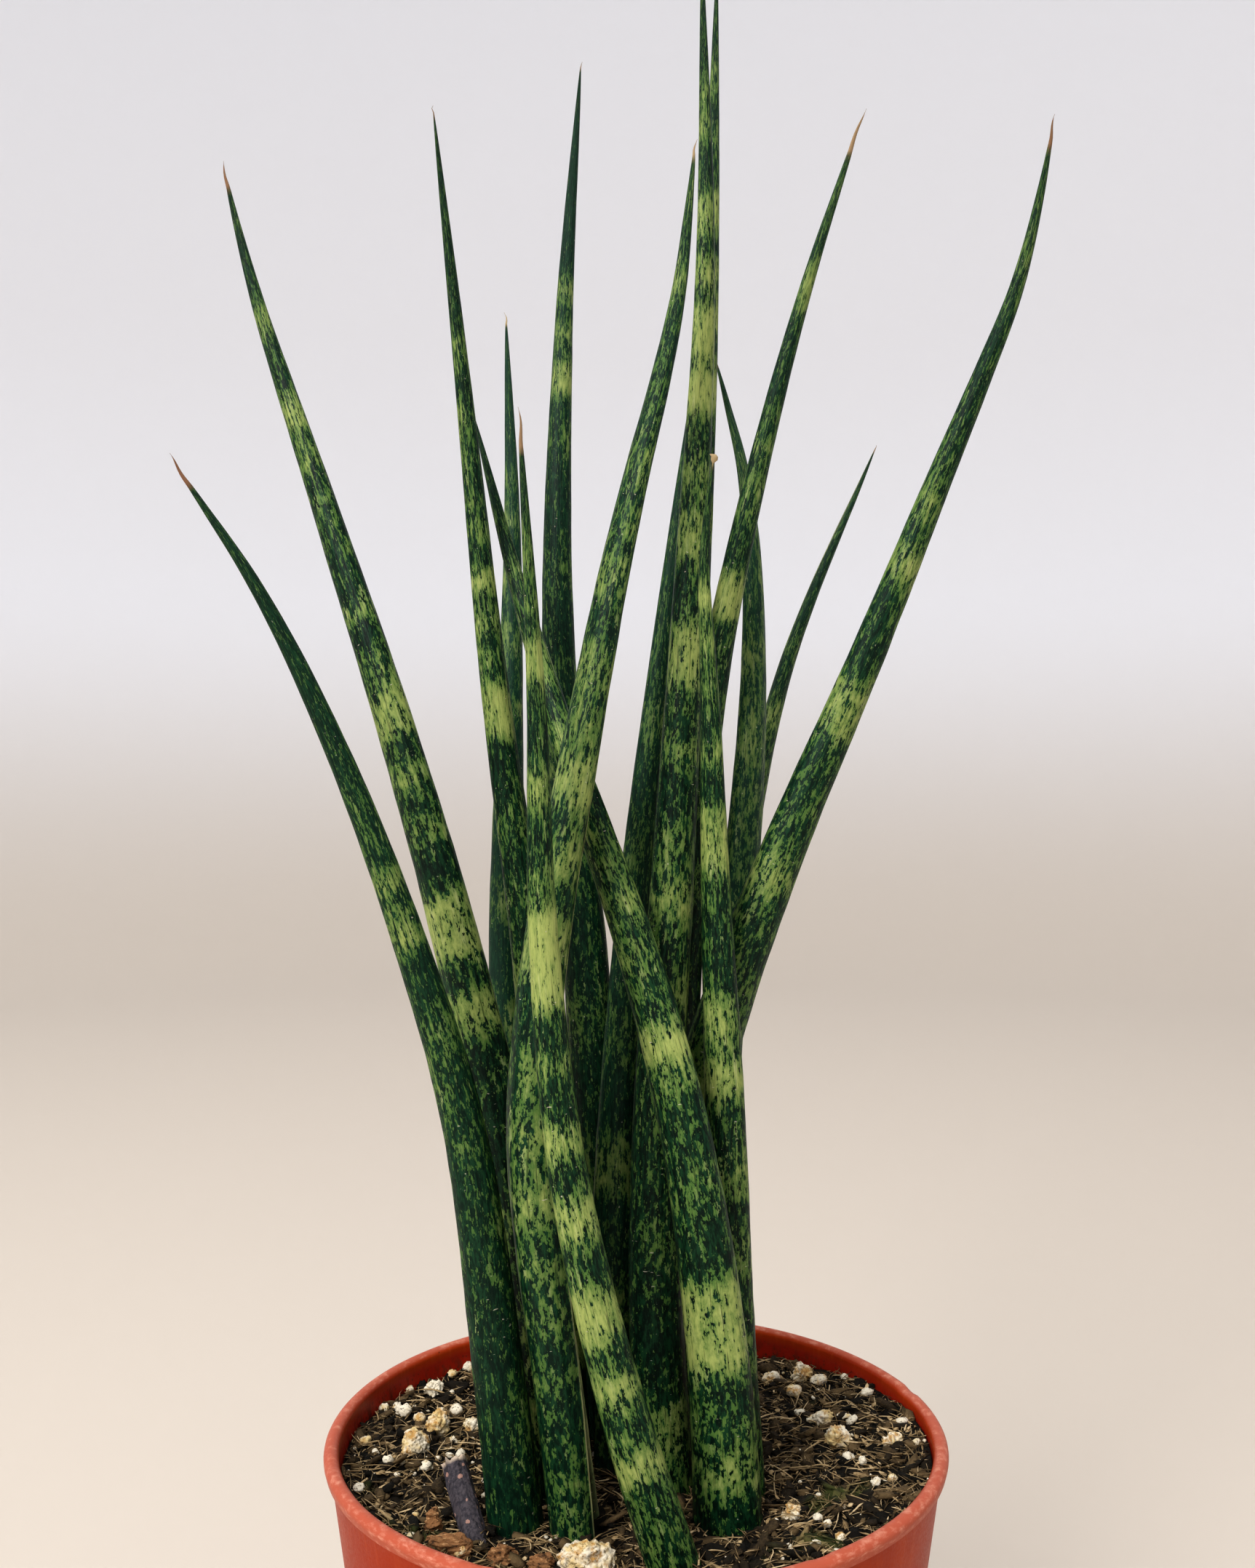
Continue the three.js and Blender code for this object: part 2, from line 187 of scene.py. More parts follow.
def grainy(tree, place, scale, detail=2.0, roughness=0.5):
    # Noise as coarse as the scale says, for all three ways at once or for each by itself
    if isinstance(scale, tuple):
        place, scale = stretched(tree, place, scale), 1.0
    return shaderNode(tree, "ShaderNodeTexNoise", {"Vector": place, "Scale": scale, "Detail": detail,
                      "Roughness": roughness}).outputs["Fac"]


def blendColours(tree, share, first, second):
    return shaderNode(tree, "ShaderNodeMix", {0: share, 6: first, 7: second}, data_type="RGBA").outputs[2]


def painted(tree, name, output="Fac"):
    return shaderNode(tree, "ShaderNodeAttribute", attribute_name=name).outputs[output]


def objectPlace(tree):
    metres = tree.nodes.new("ShaderNodeTexCoord").outputs["Object"]
    return stretched(tree, metres, (1000, 1000, 1000))      # patterns are written in millimetres


def heightOf(tree, place):
    return shaderNode(tree, "ShaderNodeSeparateXYZ", {0: place}).outputs["Z"]


def newMaterial(name, roughness=0.5, **fixed):
    material = bpy.data.materials.new(name)
    material.use_nodes = True
    tree = material.node_tree
    shader = tree.nodes["Principled BSDF"]
    shader.inputs["Roughness"].default_value = roughness
    for key, value in fixed.items():
        shader.inputs[key.replace("_", " ")].default_value = value
    return material, tree, shader


def dress(tree, shader, colour, height, distance, strength, rough=None):
    # Gives the shader its colour, its relief, with the depth in millimetres, and its roughness if it varies
    tree.links.new(colour, shader.inputs["Base Color"])
    bump = shaderNode(tree, "ShaderNodeBump", {"Height": height, "Strength": strength,
                      "Distance": distance * mm})
    tree.links.new(bump.outputs["Normal"], shader.inputs["Normal"])
    if rough is not None:
        tree.links.new(rough, shader.inputs["Roughness"])


def newGroup(name, takes):
    # A shared effect: takes a place and some values, gives a mask
    tree = bpy.data.node_groups.new(name, "ShaderNodeTree")
    for label, default in takes.items():
        kind = "NodeSocketFloat" if isinstance(default, float) else "NodeSocketVector"
        socket = tree.interface.new_socket(name=label, in_out="INPUT", socket_type=kind)
        if default is not None:
            socket.default_value = default
    tree.interface.new_socket(name="Mask", in_out="OUTPUT", socket_type="NodeSocketFloat")
    return tree, tree.nodes.new("NodeGroupInput").outputs, tree.nodes.new("NodeGroupOutput").inputs["Mask"]


def makeSpecks():
    tree, given, mask = newGroup("specks", {"Place": None, "Spacing": 1.0, "Size": 0.2, "Share": 0.3})
    ragged = shaderNode(tree, "ShaderNodeTexNoise", {"Vector": given["Place"], "Scale": 2.0, "Detail": 2.0})
    nudged = shaderNode(tree, "ShaderNodeVectorMath", {0: ragged.outputs["Color"], 1: (0.35, 0.35, 0.35),
                        2: given["Place"]}, operation="MULTIPLY_ADD").outputs[0]
    scale = calc(tree, "DIVIDE", 1.0, given["Spacing"])
    cells = shaderNode(tree, "ShaderNodeTexVoronoi", {"Vector": nudged, "Scale": scale})
    near = calc(tree, "LESS_THAN", cells.outputs["Distance"], given["Size"])
    draw = shaderNode(tree, "ShaderNodeSeparateColor", {"Color": cells.outputs["Color"]}).outputs[0]
    tree.links.new(times(tree, near, calc(tree, "LESS_THAN", draw, given["Share"])), mask)
    return tree


def makeScuffs():
    tree, given, mask = newGroup("scuffs", {"Place": None, "Along": (1, 1, 1), "Amount": 0.3})
    dash = grainy(tree, stretched(tree, given["Place"], given["Along"]), 1.0, 1.0, 0.4)
    where = grainy(tree, given["Place"], 0.11)
    rubbing = calc(tree, "MULTIPLY_ADD", where, 0.35, dash)
    low = calc(tree, "SUBTRACT", 1.02, times(tree, given["Amount"], 0.2))
    tree.links.new(spread(tree, rubbing, low, calc(tree, "ADD", low, 0.05)), mask)
    return tree


specks, scuffs = makeSpecks(), makeScuffs()
print("shared effects made")


def placeGroup(tree, group, **feeds):
    return shaderNode(tree, "ShaderNodeGroup", feeds, node_tree=group).outputs["Mask"]


leafColours = {
    "deep": srgb(1, 22, 14), "dark": srgb(20, 58, 34), "teal": srgb(36, 74, 58),
    "olive": srgb(76, 108, 52), "bright": srgb(156, 167, 98), "pale": srgb(192, 196, 142),
    # edge is a pale painted highlight for the margins, edgeBrown their own dry colour
    "edge": srgb(176, 178, 128), "edgeBrown": srgb(120, 92, 58), "scar": srgb(205, 198, 178),
    "tipBrown": srgb(112, 66, 48), "tipTan": srgb(178, 158, 122),
}


def makeLeafSkin():
    material, tree, shader = newMaterial("leafSkin", Specular_IOR_Level=0.16)
    place = painted(tree, "leafPlace", "Vector")
    tone, dry = painted(tree, "leafTone"), painted(tree, "leafDry")

    # Light bands, the leaf's own banding with painted light and shade in it: painted along each leaf, then
    # torn into streaks and specks
    drift = grainy(tree, place, (0.11, 0.11, 0.045))
    streak = grainy(tree, place, (0.9, 0.9, 0.2), 2.0, 0.6)
    blotch = grainy(tree, place, (1.0, 1.0, 0.45), 3.0, 0.7)
    fleck = grainy(tree, place, (2.6, 2.6, 1.3), 2.0, 0.6)
    bandsAndShading = swing(tree, drift, 2.0, painted(tree, "leafBandsAndShading"))
    torn = swing(tree, streak, 2.0, times(tree, bandsAndShading, 0.85))
    torn = swing(tree, fleck, 3.2, swing(tree, blotch, 5.6, torn))
    patch = spread(tree, torn, -0.05, 0.18)
    heart = spread(tree, swing(tree, blotch, 3.4, bandsAndShading), -0.1, 1.65)

    mottle = grainy(tree, place, (1.5, 1.5, 0.5), 3.0, 0.7)
    base = blendColours(tree, spread(tree, mottle, 0.42, 0.62), leafColours["deep"], leafColours["dark"])
    base = blendColours(tree, times(tree, tone, 0.75), base, leafColours["teal"])
    bandColour = blendColours(tree, heart, leafColours["olive"], leafColours["bright"])
    paleShare = spread(tree, grainy(tree, place, (0.8, 0.8, 0.16), 3.0), 0.55, 0.8)
    bandColour = blendColours(tree, times(tree, paleShare, 0.45), bandColour, leafColours["pale"])
    bandColour = blendColours(tree, times(tree, tone, 0.5), bandColour, leafColours["teal"])
    colour = blendColours(tree, patch, base, bandColour)

    # Fine grooves along the leaf
    grooves = grainy(tree, place, (2.8, 2.8, 0.14))
    grooveMask = spread(tree, grooves, 0.6, 0.68)
    colour = blendColours(tree, times(tree, grooveMask, 0.55), colour, leafColours["deep"])

    # Rubbed dashes across the leaf, pale dust, scars, edges that are dry and brown in places and elsewhere
    # pale with a painted highlight, and the dry tip
    dashes = placeGroup(tree, scuffs, Place=place, Along=(0.75, 0.75, 3.2), Amount=0.3)
    dust = placeGroup(tree, specks, Place=place, Spacing=2.4, Size=0.07, Share=0.2)
    marks = calc(tree, "MAXIMUM", times(tree, dashes, 0.6), times(tree, dust, 0.4))
    colour = blendColours(tree, marks, colour, leafColours["scar"])
    scarred = spread(tree, painted(tree, "leafScar"), 0.35, 0.6)
    colour = blendColours(tree, scarred, colour, leafColours["scar"])
    # The pale edge colour is a painted highlight along the margins; the brown is their own dry colour
    edgeBreak = grainy(tree, place, (0.3, 0.3, 0.12), 3.0, 0.6)
    edgeDryAndHighlight = blendColours(tree, spread(tree, edgeBreak, 0.58, 0.7), leafColours["edge"],
                              leafColours["edgeBrown"])
    edgeShare = times(tree, painted(tree, "leafEdge"), spread(tree, edgeBreak, 0.42, 0.58, (0.45, 0.95)))
    colour = blendColours(tree, edgeShare, colour, edgeDryAndHighlight)
    tipColour = blendColours(tree, painted(tree, "leafTip"), leafColours["tipBrown"], leafColours["tipTan"])
    colour = blendColours(tree, dry, colour, tipColour)
    # The channel is darkened towards the foot: painted shade in the groove
    colour = blendColours(tree, times(tree, painted(tree, "leafChannelShade"), 0.35), colour, leafColours["deep"])

    rough = spread(tree, fleck, 0.3, 0.7, (0.36, 0.5))
    rough = calc(tree, "MULTIPLY_ADD", calc(tree, "MAXIMUM", marks, dry), 0.35, rough)
    height = calc(tree, "MULTIPLY_ADD", grooves, -0.8, times(tree, fleck, 0.25))
    height = calc(tree, "MULTIPLY_ADD", dashes, 0.5, height)
    dress(tree, shader, colour, height, 0.16, 0.7, rough)
    return material


leafForm = {
    "around": 60, "back": 36, "lipSteps": 4,        # points round a section, round its back, over each lip
    "rows": 150, "crowding": 1.25, "taper": 0.75,
    "spread": (0.74, 0.36), "lift": (0.24, 0.35), "depth": 0.42,    # shares of the leaf's width, foot and tip
    "floor": (-0.12, 0.17), "channelCurve": 2.2, "lipRadius": 0.021, "lipRise": 1.2,
    "furrow": 0.010, "wobble": 0.012,
    "settled": 0.35, "late": 0.55,      # shares of the length: where the fit is whole, where the tip's begins
    "stem": (0.45, 0.35), "point": 0.25, "least": 0.05,     # width of a dry tip, how it grows, where it ends
    "kink": 0.35, "dryFade": 0.9,
    "bandEnd": 4.5,                     # length over which a light band fades, in millimetres
}

# What each leaf has of its own. "fit" is how it sits next to the plain CAD leaf above its foot: times
# as wide, millimetres to the right at half height and at the tip, degrees turned. "scars" are pale ones
# on an edge: height, half length, side. Then: length of dry tip, how tan it is, least width of the tip if
# it stays thick, how grey-teal the leaf is, its usual lightness, and the bands that differ from it: height
# above the ground, half length along the leaf, and lightness from -1, all dark, to 1, all light.
# The lightness values hold the leaf's own banding and also painted light and shade, such as the darker foot
# and stretches in shade
leaves = {
    "leaf_01": {"fit": (1.06, 0.2, 0.2, 0), "dry": 5.5, "tan": 0.2, "tone": 0.15, "usual": -0.65, "bands": [
        (198, 2, 0), (193, 2, 0.15), (187, 2.2, 0.7), (182.5, 1.2, 0.4), (179, 2.2, 0.8), (160, 8, -0.3),
        (148, 4, -0.25), (130, 6, -0.35), (104, 6, -0.4)]},
    "leaf_02": {"fit": (1.26, 0.4, 0.2, 0), "dry": 5.0, "tan": 0.3, "tone": 0.0, "usual": -0.65, "bands": [
        (300, 1.5, 0), (283, 3, 0.35), (265, 3, 0.5), (258, 3.5, 0), (246, 7, -0.3), (231, 2.2, 0.6),
        (222, 2, 0.4), (214, 5, 0.6), (203, 2, 0.3), (194, 1.8, 0.2), (178, 6, 0.95), (164, 4, 0.75),
        (153, 2.2, 0.2), (130, 4, 0.1), (112, 4, 0.1), (98, 5, 0.2)]},
    "leaf_03": {"fit": (1.0, -0.35, 0.9, 0), "dry": 1.5, "tan": 0.4, "tone": 0.0, "usual": -0.62, "bands": [
        (275, 3, 0.2), (263, 2.5, 0.35), (257, 2, 0), (249, 1.5, 0.3), (244.5, 2, 0.5), (236, 2.4, 0.8),
        (229, 2.4, 0.3), (223.5, 1.5, 0.2), (214, 5, 0.9), (194.5, 2.5, 0.2), (183, 4, -0.1), (168, 4, 0.4),
        (150, 5, 0.3), (128, 4, 0.3), (105, 5, 0.3)]},
    "leaf_04": {"fit": (1.0, 0, 0, 0), "dry": 1.0, "tan": 0.5, "tone": 0.0, "usual": -0.5,
                "scars": [(141, 2.6, 1)], "bands": [
        (247, 2, 0.3), (238, 2.5, 0.4), (222, 4, 0.2), (208, 4, 0.3), (191, 5, 0), (183, 3, 0.35),
        (175, 3, 0.1), (160, 3, 0.9), (155, 2, 0.3), (149, 2, -0.1), (138, 5, 0.15), (117, 7.5, 0.95),
        (101, 2, 0), (94, 4, 0.4), (80, 4, -0.3)]},
    "leaf_05": {"fit": (1.14, -0.4, -0.2, 0), "dry": 2.5, "tan": 1.0, "tone": 0.5, "usual": -0.75, "bands": [
        (260, 2, 0.1), (252, 3, 0.2), (240, 3, 0.2), (229, 4, 0.3), (215, 3, 0.2), (196, 4, 0.2),
        (180, 4, 0.2), (160, 4, 0.2), (130, 5, 0.2), (105, 4, 0.2)]},
    "leaf_06": {"fit": (1.03, 0, 0, 0), "dry": 6.3, "tan": 0.5, "tone": 0.0, "usual": -0.5,
                "scars": [(137, 4, -1), (117, 3, -1), (152, 2, -1)], "bands": [
        (235, 3, 0), (228.5, 1.8, 0.3), (220, 4, 0.85), (211, 2.5, -0.2), (201.5, 3.5, 0.45), (188, 2, 0.2),
        (176, 8, 1), (160, 2.2, 0.5), (149, 3, 0.8), (137.5, 3.5, 0.7), (123, 4, 0.8), (112.5, 2.8, 0.6),
        (106, 1.5, 0.1), (101, 2.4, 1), (90, 6, -0.2)]},
    "leaf_07": {"fit": (1.14, -0.4, -0.2, 0), "dry": 1.2, "tan": 0.5, "tone": 0.2, "usual": -0.6, "bands": [
        (316, 20, -0.95), (293, 2.2, 0.75), (285, 2.2, 0.4), (276, 3.5, 0.7), (265, 2.5, 0),
        (240, 4, -0.15), (222, 3, 0.1), (205, 4, 0.2), (160, 5, 0.2), (135, 5, 0.2)]},
    "leaf_08": {"fit": (1.23, -0.2, 0.2, 0), "dry": 3.0, "tan": 0.8, "tone": 0.1, "usual": -0.4, "bands": [
        (298, 1.5, 0), (283, 2.5, 0.45), (266, 2, 0), (253, 4, 0.1), (243, 3, 0), (235, 4, 0.1),
        (219, 4, 0.35), (211, 2.5, 0.2), (202, 4.5, 0.65), (190, 4, 0.3), (176, 5, 0.5), (157, 3, 0.3),
        (147, 3, 0.35), (137, 4, 0.5), (127, 3, 0.3), (119, 3, 0.2), (109, 3, 0.2), (92, 5, -0.2)]},
    "leaf_09": {"fit": (1.13, -0.3, 0, 0), "dry": 2.0, "tan": 0.5, "tone": 0.3, "usual": -0.6, "bands": [
        (257, 3, -0.2), (230, 4, -0.4), (213, 3.5, 0.2), (190, 4, -0.2), (157, 6, 0.1), (137, 5.5, 0.35),
        (112, 5, 0.1), (92, 4, 0.1)]},
    "leaf_10": {"fit": (1.08, -0.2, -0.2, 0), "dry": 1.5, "tan": 0.5, "tone": 0.0, "usual": -0.5, "bands": [
        (320, 2, 0.3), (314, 2, 0.4), (298.5, 4, 0.65), (288.5, 2.8, 0.65), (278, 5, 0.75), (268, 4, 0.9),
        (253.5, 3.5, 0.1), (243, 5, 0.45), (223, 5.5, 0.7), (214, 2, 0), (207.5, 2.8, 0.4), (192, 4, 0),
        (182, 4.5, 0.4), (168, 3, 0.3), (150, 4, 0), (125, 5, -0.3), (96, 4, 0.1)]},
    "leaf_11": {"fit": (1.03, 0, 0, 0), "dry": 1.5, "tan": 0.5, "tone": 0.1, "usual": -0.55, "bands": [
        (330, 4, 0.3), (318, 4, 0.2), (306, 4.5, 0.8), (294.5, 2.8, 0.65), (286, 4, 0.7), (274, 5, 0.8),
        (250, 4, 0.3), (230, 5, 0.5), (205, 5, 0.3), (180, 5, 0.2), (150, 5, 0.2), (120, 5, 0),
        (95, 4, 0)]},
    "leaf_12": {"fit": (1.02, 0, 0, 0), "dry": 1.4, "tan": 0.9, "tone": 0.0, "usual": -0.45,
                "blunt": 1.15, "bands": [
        (232, 2.4, 0.85), (225, 2.5, 0.25), (217, 2.5, 0.2), (207, 2.4, 0.6), (193, 5.5, 0.7),
        (183, 2, -0.1), (164, 4, 0.45), (153.5, 3.5, 0.65), (138, 4, 0.2), (125, 4, 0.3), (108, 4, 0.2)]},
    "leaf_13": {"fit": (1.0, -0.5, -0.3, -34), "dry": 2.0, "tan": 0.5, "tone": 0.5, "usual": -0.2, "bands": [
        (238, 3, 0), (225, 3, 0.3), (212, 6, 0.15), (195, 6, 0.1), (175, 5, 0.2), (150, 5, 0),
        (118, 6, 0.2)]},
    "leaf_14": {"fit": (1.13, -0.2, -0.6, 0), "dry": 8.0, "tan": 0.6, "tone": 0.1, "usual": -0.5, "bands": [
        (300, 2, -0.2), (286, 4, 0.45), (264, 2, 0.2), (259, 1.8, 0.3), (253, 1, 0.2), (248, 1, 0.2),
        (234, 4, 0.95), (213, 5, 0.2), (198, 4, 0.2), (185, 3, 0.2), (150, 5, 0.1), (120, 5, 0.1)]},
    "leaf_15": {"fit": (1.12, -0.45, -0.4, -30), "dry": 1.5, "tan": 0.5, "tone": 0.2, "usual": -0.45,
                "bands": [
        (228, 3, 0.1), (215, 3, 0.4), (203, 4, 0.2), (180, 4, 0.1), (150, 5, 0.1), (118, 5, 0.1)]},
    "leaf_16": {"fit": (1.22, -0.9, -0.2, 0), "dry": 5.0, "tan": 0.3, "tone": 0.1, "usual": -0.35, "bands": [
        (287, 3, 0.1), (279.5, 2, 0), (263, 2, -0.1), (257, 2, 0), (248, 2.5, 0.15), (238, 3, 0.65),
        (230.5, 2.4, 0.1), (214.5, 5, 0.75), (186, 3, 0.45), (177, 4, 0), (168, 3, 0.2), (150, 5, 0.2),
        (130, 5, 0.1), (105, 5, 0.1)]},
}


def bandsAndShadingAt(own, height):
    # Lightness of a leaf at a height, its own banding with painted light and shade: its usual one, or that of
    # the band there, with soft ends
    usual = most = own["usual"]
    for z, half, level in own["bands"]:
        share = min(1, max(0, (half + leafForm["bandEnd"] / 2 - abs(height - z)) / leafForm["bandEnd"]))
        value = usual + (level - usual) * share
        if abs(value - usual) > abs(most - usual):
            most = value
    return most


def ringsFromTip(tip):
    # The rings of points round a leaf, from its tip down to its foot
    seen, ring, rings = {tip}, [tip], []
    while ring:
        rings.append(ring)
        ahead = []
        for v in ring:
            for e in v.link_edges:
                other = e.other_vert(v)
                if other not in seen:
                    seen.add(other)
                    ahead.append(other)
        ring = ahead
    return [ring for ring in rings if len(ring) > 2]


def leafKnots(node):
    # A CAD leaf's sections from foot to tip: middle, forward direction and width of each
    mesh = bmesh.new()
    mesh.from_mesh(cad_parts[node].data)
    bmesh.ops.remove_doubles(mesh, verts=mesh.verts, dist=0.002 * mm)
    tip = max(mesh.verts, key=lambda v: v.co.z)
    knots = []
    for ring in reversed(ringsFromTip(tip)):
        middle = sum((v.co for v in ring), Vector()) / len(ring)
        here = set(ring)
        loop = [min(ring, key=lambda v: (v.co - middle).length)]        # starts at the floor of the channel
        while len(loop) < len(ring):
            step = [e.other_vert(loop[-1]) for e in loop[-1].link_edges]
            step = [v for v in step if v in here and v not in loop]
            loop.append(min(step, key=lambda v: (v.co - loop[-1].co).length))
        right, left = loop[2].co, loop[-2].co       # the channel's edges lie two points from its floor
        back = (loop[5].co + loop[6].co) / 2
        mouth = (right + left) / 2
        width = (right - left).length / leafForm["spread"][0]
        front = (mouth - back).normalized()
        knots.append((mouth - front * leafForm["lift"][0] * width, front, width))
    top = tip.co.copy()
    mesh.free()
    return knots, top


def smoothAlong(knots, values, at):
    # Hermite curve through the values at the knots
    knots, values, at = np.asarray(knots), np.asarray(values, float), np.asarray(at)
    slopes = np.gradient(values, knots, axis=0)
    k = np.clip(np.searchsorted(knots, at, side="right") - 1, 0, len(knots) - 2)
    gap = (knots[k + 1] - knots[k])[:, None]
    t = ((at - knots[k]) / gap[:, 0])[:, None]
    a, b, ma, mb = values[k], values[k + 1], slopes[k] * gap, slopes[k + 1] * gap
    return ((2 * t**3 - 3 * t**2 + 1) * a + (t**3 - 2 * t**2 + t) * ma
            + (3 * t**2 - 2 * t**3) * b + (t**3 - t**2) * mb)


def leafOutline(along, seed):
    # Outline of one section in shares of width, with marks for edge and channel
    form = leafForm
    half, lift, floor = (between(form[key], along) for key in ("spread", "lift", "floor"))
    half /= 2
    turn = math.acos(min(1, half * 2))
    cap, lipSteps = form["lipRadius"], form["lipSteps"]

    def lipOver(middle):
        for i in range(1, lipSteps):
            a = math.pi * i / lipSteps
            points.append((middle + math.cos(a) * cap, lift + math.sin(a) * cap * form["lipRise"], 1.0, 0.0))

    points = []
    for i in range(form["back"]):
        angle = math.pi - turn + (math.pi + 2 * turn) * i / (form["back"] - 1)
        ridge = 0.5 + 0.5 * math.cos(angle * 9 + seed * 1.7)
        sink = form["furrow"] * ridge * (0.6 + 0.4 * math.sin(angle * 4 + seed))
        up = lift / max(math.sin(turn), 0.05) if math.sin(angle) > 0 else form["depth"]
        points.append((math.cos(angle) * (0.5 - sink), math.sin(angle) * (up - sink), 0.0, 0.0))
    lipOver(half - cap)
    channelCount = form["around"] - form["back"] - 2 * (lipSteps - 1)
    for i in range(channelCount):
        side = 1 - 2 * i / (channelCount - 1)
        rise = floor + (lift - floor) * abs(side) ** form["channelCurve"]
        points.append(((half - 2 * cap) * side, rise, 0.6 if abs(side) > 0.98 else 0.0, 1 - abs(side) ** 3))
    lipOver(cap - half)
    return points


def leafPath(node, own):
    # Row by row: distance from the foot, middle, forward and side directions, and width
    form = leafForm
    knots, top = leafKnots(node)
    middles = [k[0] for k in knots] + [top]
    fronts = [k[1] for k in knots] + [knots[-1][1]]
    length = np.concatenate([[0], np.cumsum([(b - a).length for a, b in zip(middles, middles[1:])])])
    share = 1 - (1 - np.arange(form["rows"]) / (form["rows"] - 1)) ** form["crowding"]
    stops = length[-1] * share
    middle = smoothAlong(length, [list(m) for m in middles], stops)
    front = smoothAlong(length, [list(f) for f in fronts], stops)
    tangent = np.gradient(middle, stops, axis=0)
    tangent /= np.linalg.norm(tangent, axis=1)[:, None]
    front -= (front * tangent).sum(1)[:, None] * tangent
    front /= np.linalg.norm(front, axis=1)[:, None]
    side = np.cross(front, tangent)
    wide, aside, tipAside, turn = own["fit"]
    risen = np.clip(share / form["settled"], 0, 1)
    risen = risen * risen * (3 - 2 * risen)
    late = np.clip((share - form["late"]) / (1 - form["late"]), 0, 1)
    middle[:, 0] += (aside * risen + (tipAside - aside) * late) * mm
    lean = np.radians(turn) * risen[:, None]
    front, side = front * np.cos(lean) - side * np.sin(lean), side * np.cos(lean) + front * np.sin(lean)
    width = knots[0][2] * (1 - share) ** form["taper"] * (1 + (wide - 1) * risen)
    return stops, middle, front, side, width


def stemWidth(own, width, left):
    # Width of the dry tip, which draws in to a thin stem and then to a point
    stem, dry = leafForm["stem"], own["dry"] * mm
    if left >= dry:
        return width
    width = min(width, (stem[0] + stem[1] * left / dry) * mm)
    width *= min(1, (left / (leafForm["point"] * dry)) ** 0.5)
    return max(width, own.get("blunt", leafForm["least"]) * mm)


def makeLeaf(node, own, number):
    form = leafForm
    around, rows, dryLength = form["around"], form["rows"], own["dry"] * mm
    stops, middle, front, side, widths = leafPath(node, own)
    piece = newGrid(node + "_skin", around, rows + 1)
    mesh = piece.data
    co, place = np.zeros((len(mesh.vertices), 3)), np.zeros((len(mesh.vertices), 3))
    edge, channel, dry, light, scar = (np.zeros(len(mesh.vertices)) for _ in range(5))
    shift = (number * 41.3, number * 17.9, number * 233.0)      # each leaf has its own part of the pattern
    for row in range(rows + 2):
        closed = row in (0, rows + 1)              # the foot and the tip draw in to a point
        j = min(max(row - 1, 0), rows - 1)
        along, left = stops[j] / stops[-1], stops[-1] - stops[j]
        width = stemWidth(own, widths[j], left)
        outline = leafOutline(min(1, along * 1.08), number)
        height = middle[j][2] / mm
        scars = [(hand, abs(height - at) < half) for at, half, hand in own.get("scars", [])]
        bandsAndShading = bandsAndShadingAt(own, height)
        kink = math.sin(left / dryLength * 4.2 + number) * form["kink"] * mm * max(0, 1 - left / dryLength)
        for i, (a, b, isEdge, isChannel) in enumerate(outline + outline[:1]):
            v = row * (around + 1) + i
            spot = Vector((a * 9, b * 9, stops[j] / mm)) + Vector(shift)
            swell = 1 + form["wobble"] * noise.noise(spot * 0.22) * 2
            if closed:
                a, b = 0.0, -0.08
            co[v] = middle[j] + side[j] * (a * width * swell + kink) + front[j] * (b * width * swell)
            place[v] = (a * 10 + shift[0], b * 10 + shift[1], stops[j] / mm + shift[2])
            edge[v], channel[v], light[v] = isEdge, isChannel * (1 - along), bandsAndShading
            scar[v] = any(near and a * hand > 0.3 and isEdge == 1 for hand, near in scars)
            driest = 0.97 * dryLength
            dry[v] = 1 if left < driest else max(0, 1 - (left - driest) / (form["dryFade"] * mm))
    setPlaces(mesh, co)
    whole = np.ones(len(co))
    layers = {"leafPlace": place, "leafEdge": edge, "leafChannelShade": channel, "leafDry": dry, "leafScar": scar,
              "leafBandsAndShading": light, "leafTone": whole * own["tone"], "leafTip": whole * own["tan"]}
    for name, values in layers.items():
        paint(mesh, name, values)
    weld(piece, 0.001)
    finishPiece(piece, leafSkin, "leaf", node)


leafSkin = makeLeafSkin()
for number, (node, own) in enumerate(leaves.items(), 1):
    makeLeaf(node, own, number)
print("leaves made")


potForm = {
    "height": 92.0, "rim": 52.5, "foot": 39.0, "wall": 1.4, "proud": 1.1, "lip": 2.4, "lipRound": 1.15,
    "floor": 3.0, "footHeight": 1.5, "ringWidth": 4.0, "pad": 15.0, "steps": 192,
    "holes": 6, "holeRadius": 4.0, "holeSides": 32, "holeReach": 12.0,
    "notch": 4.0, "notchSides": 24, "notchReach": 20.0, "notchDrop": 0.5,
    "wobble": 0.16,                     # how far out of round the thin lip is
    # Nicks in the lip: degrees round it, depth and half width
    "nicks": [(16, 0.5, 2.4), (197, 0.35, 1.6), (243, 0.25, 1.2), (301, 0.3, 1.8)],
    "soiledFrom": 92.0, "soiledWhole": 86.0,    # heights between which the inside grows dirty
}
potColours = {
    # inside is a darker red for the painted shade inside the pot
    "outside": srgb(170, 60, 14), "outsideDeep": srgb(152, 46, 8), "inside": srgb(154, 32, 8),
    # lip and scuffed are the worn, dusty lip with a painted highlight along it
    "lip": srgb(174, 90, 68), "scuffedAndHighlight": srgb(202, 138, 116),
    "soil": srgb(60, 40, 26), "dust": srgb(200, 100, 52),
}


def wallRadius(z):
    form = potForm
    return form["foot"] + (form["rim"] - form["proud"] - form["foot"]) * z / (form["height"] - form["lip"])


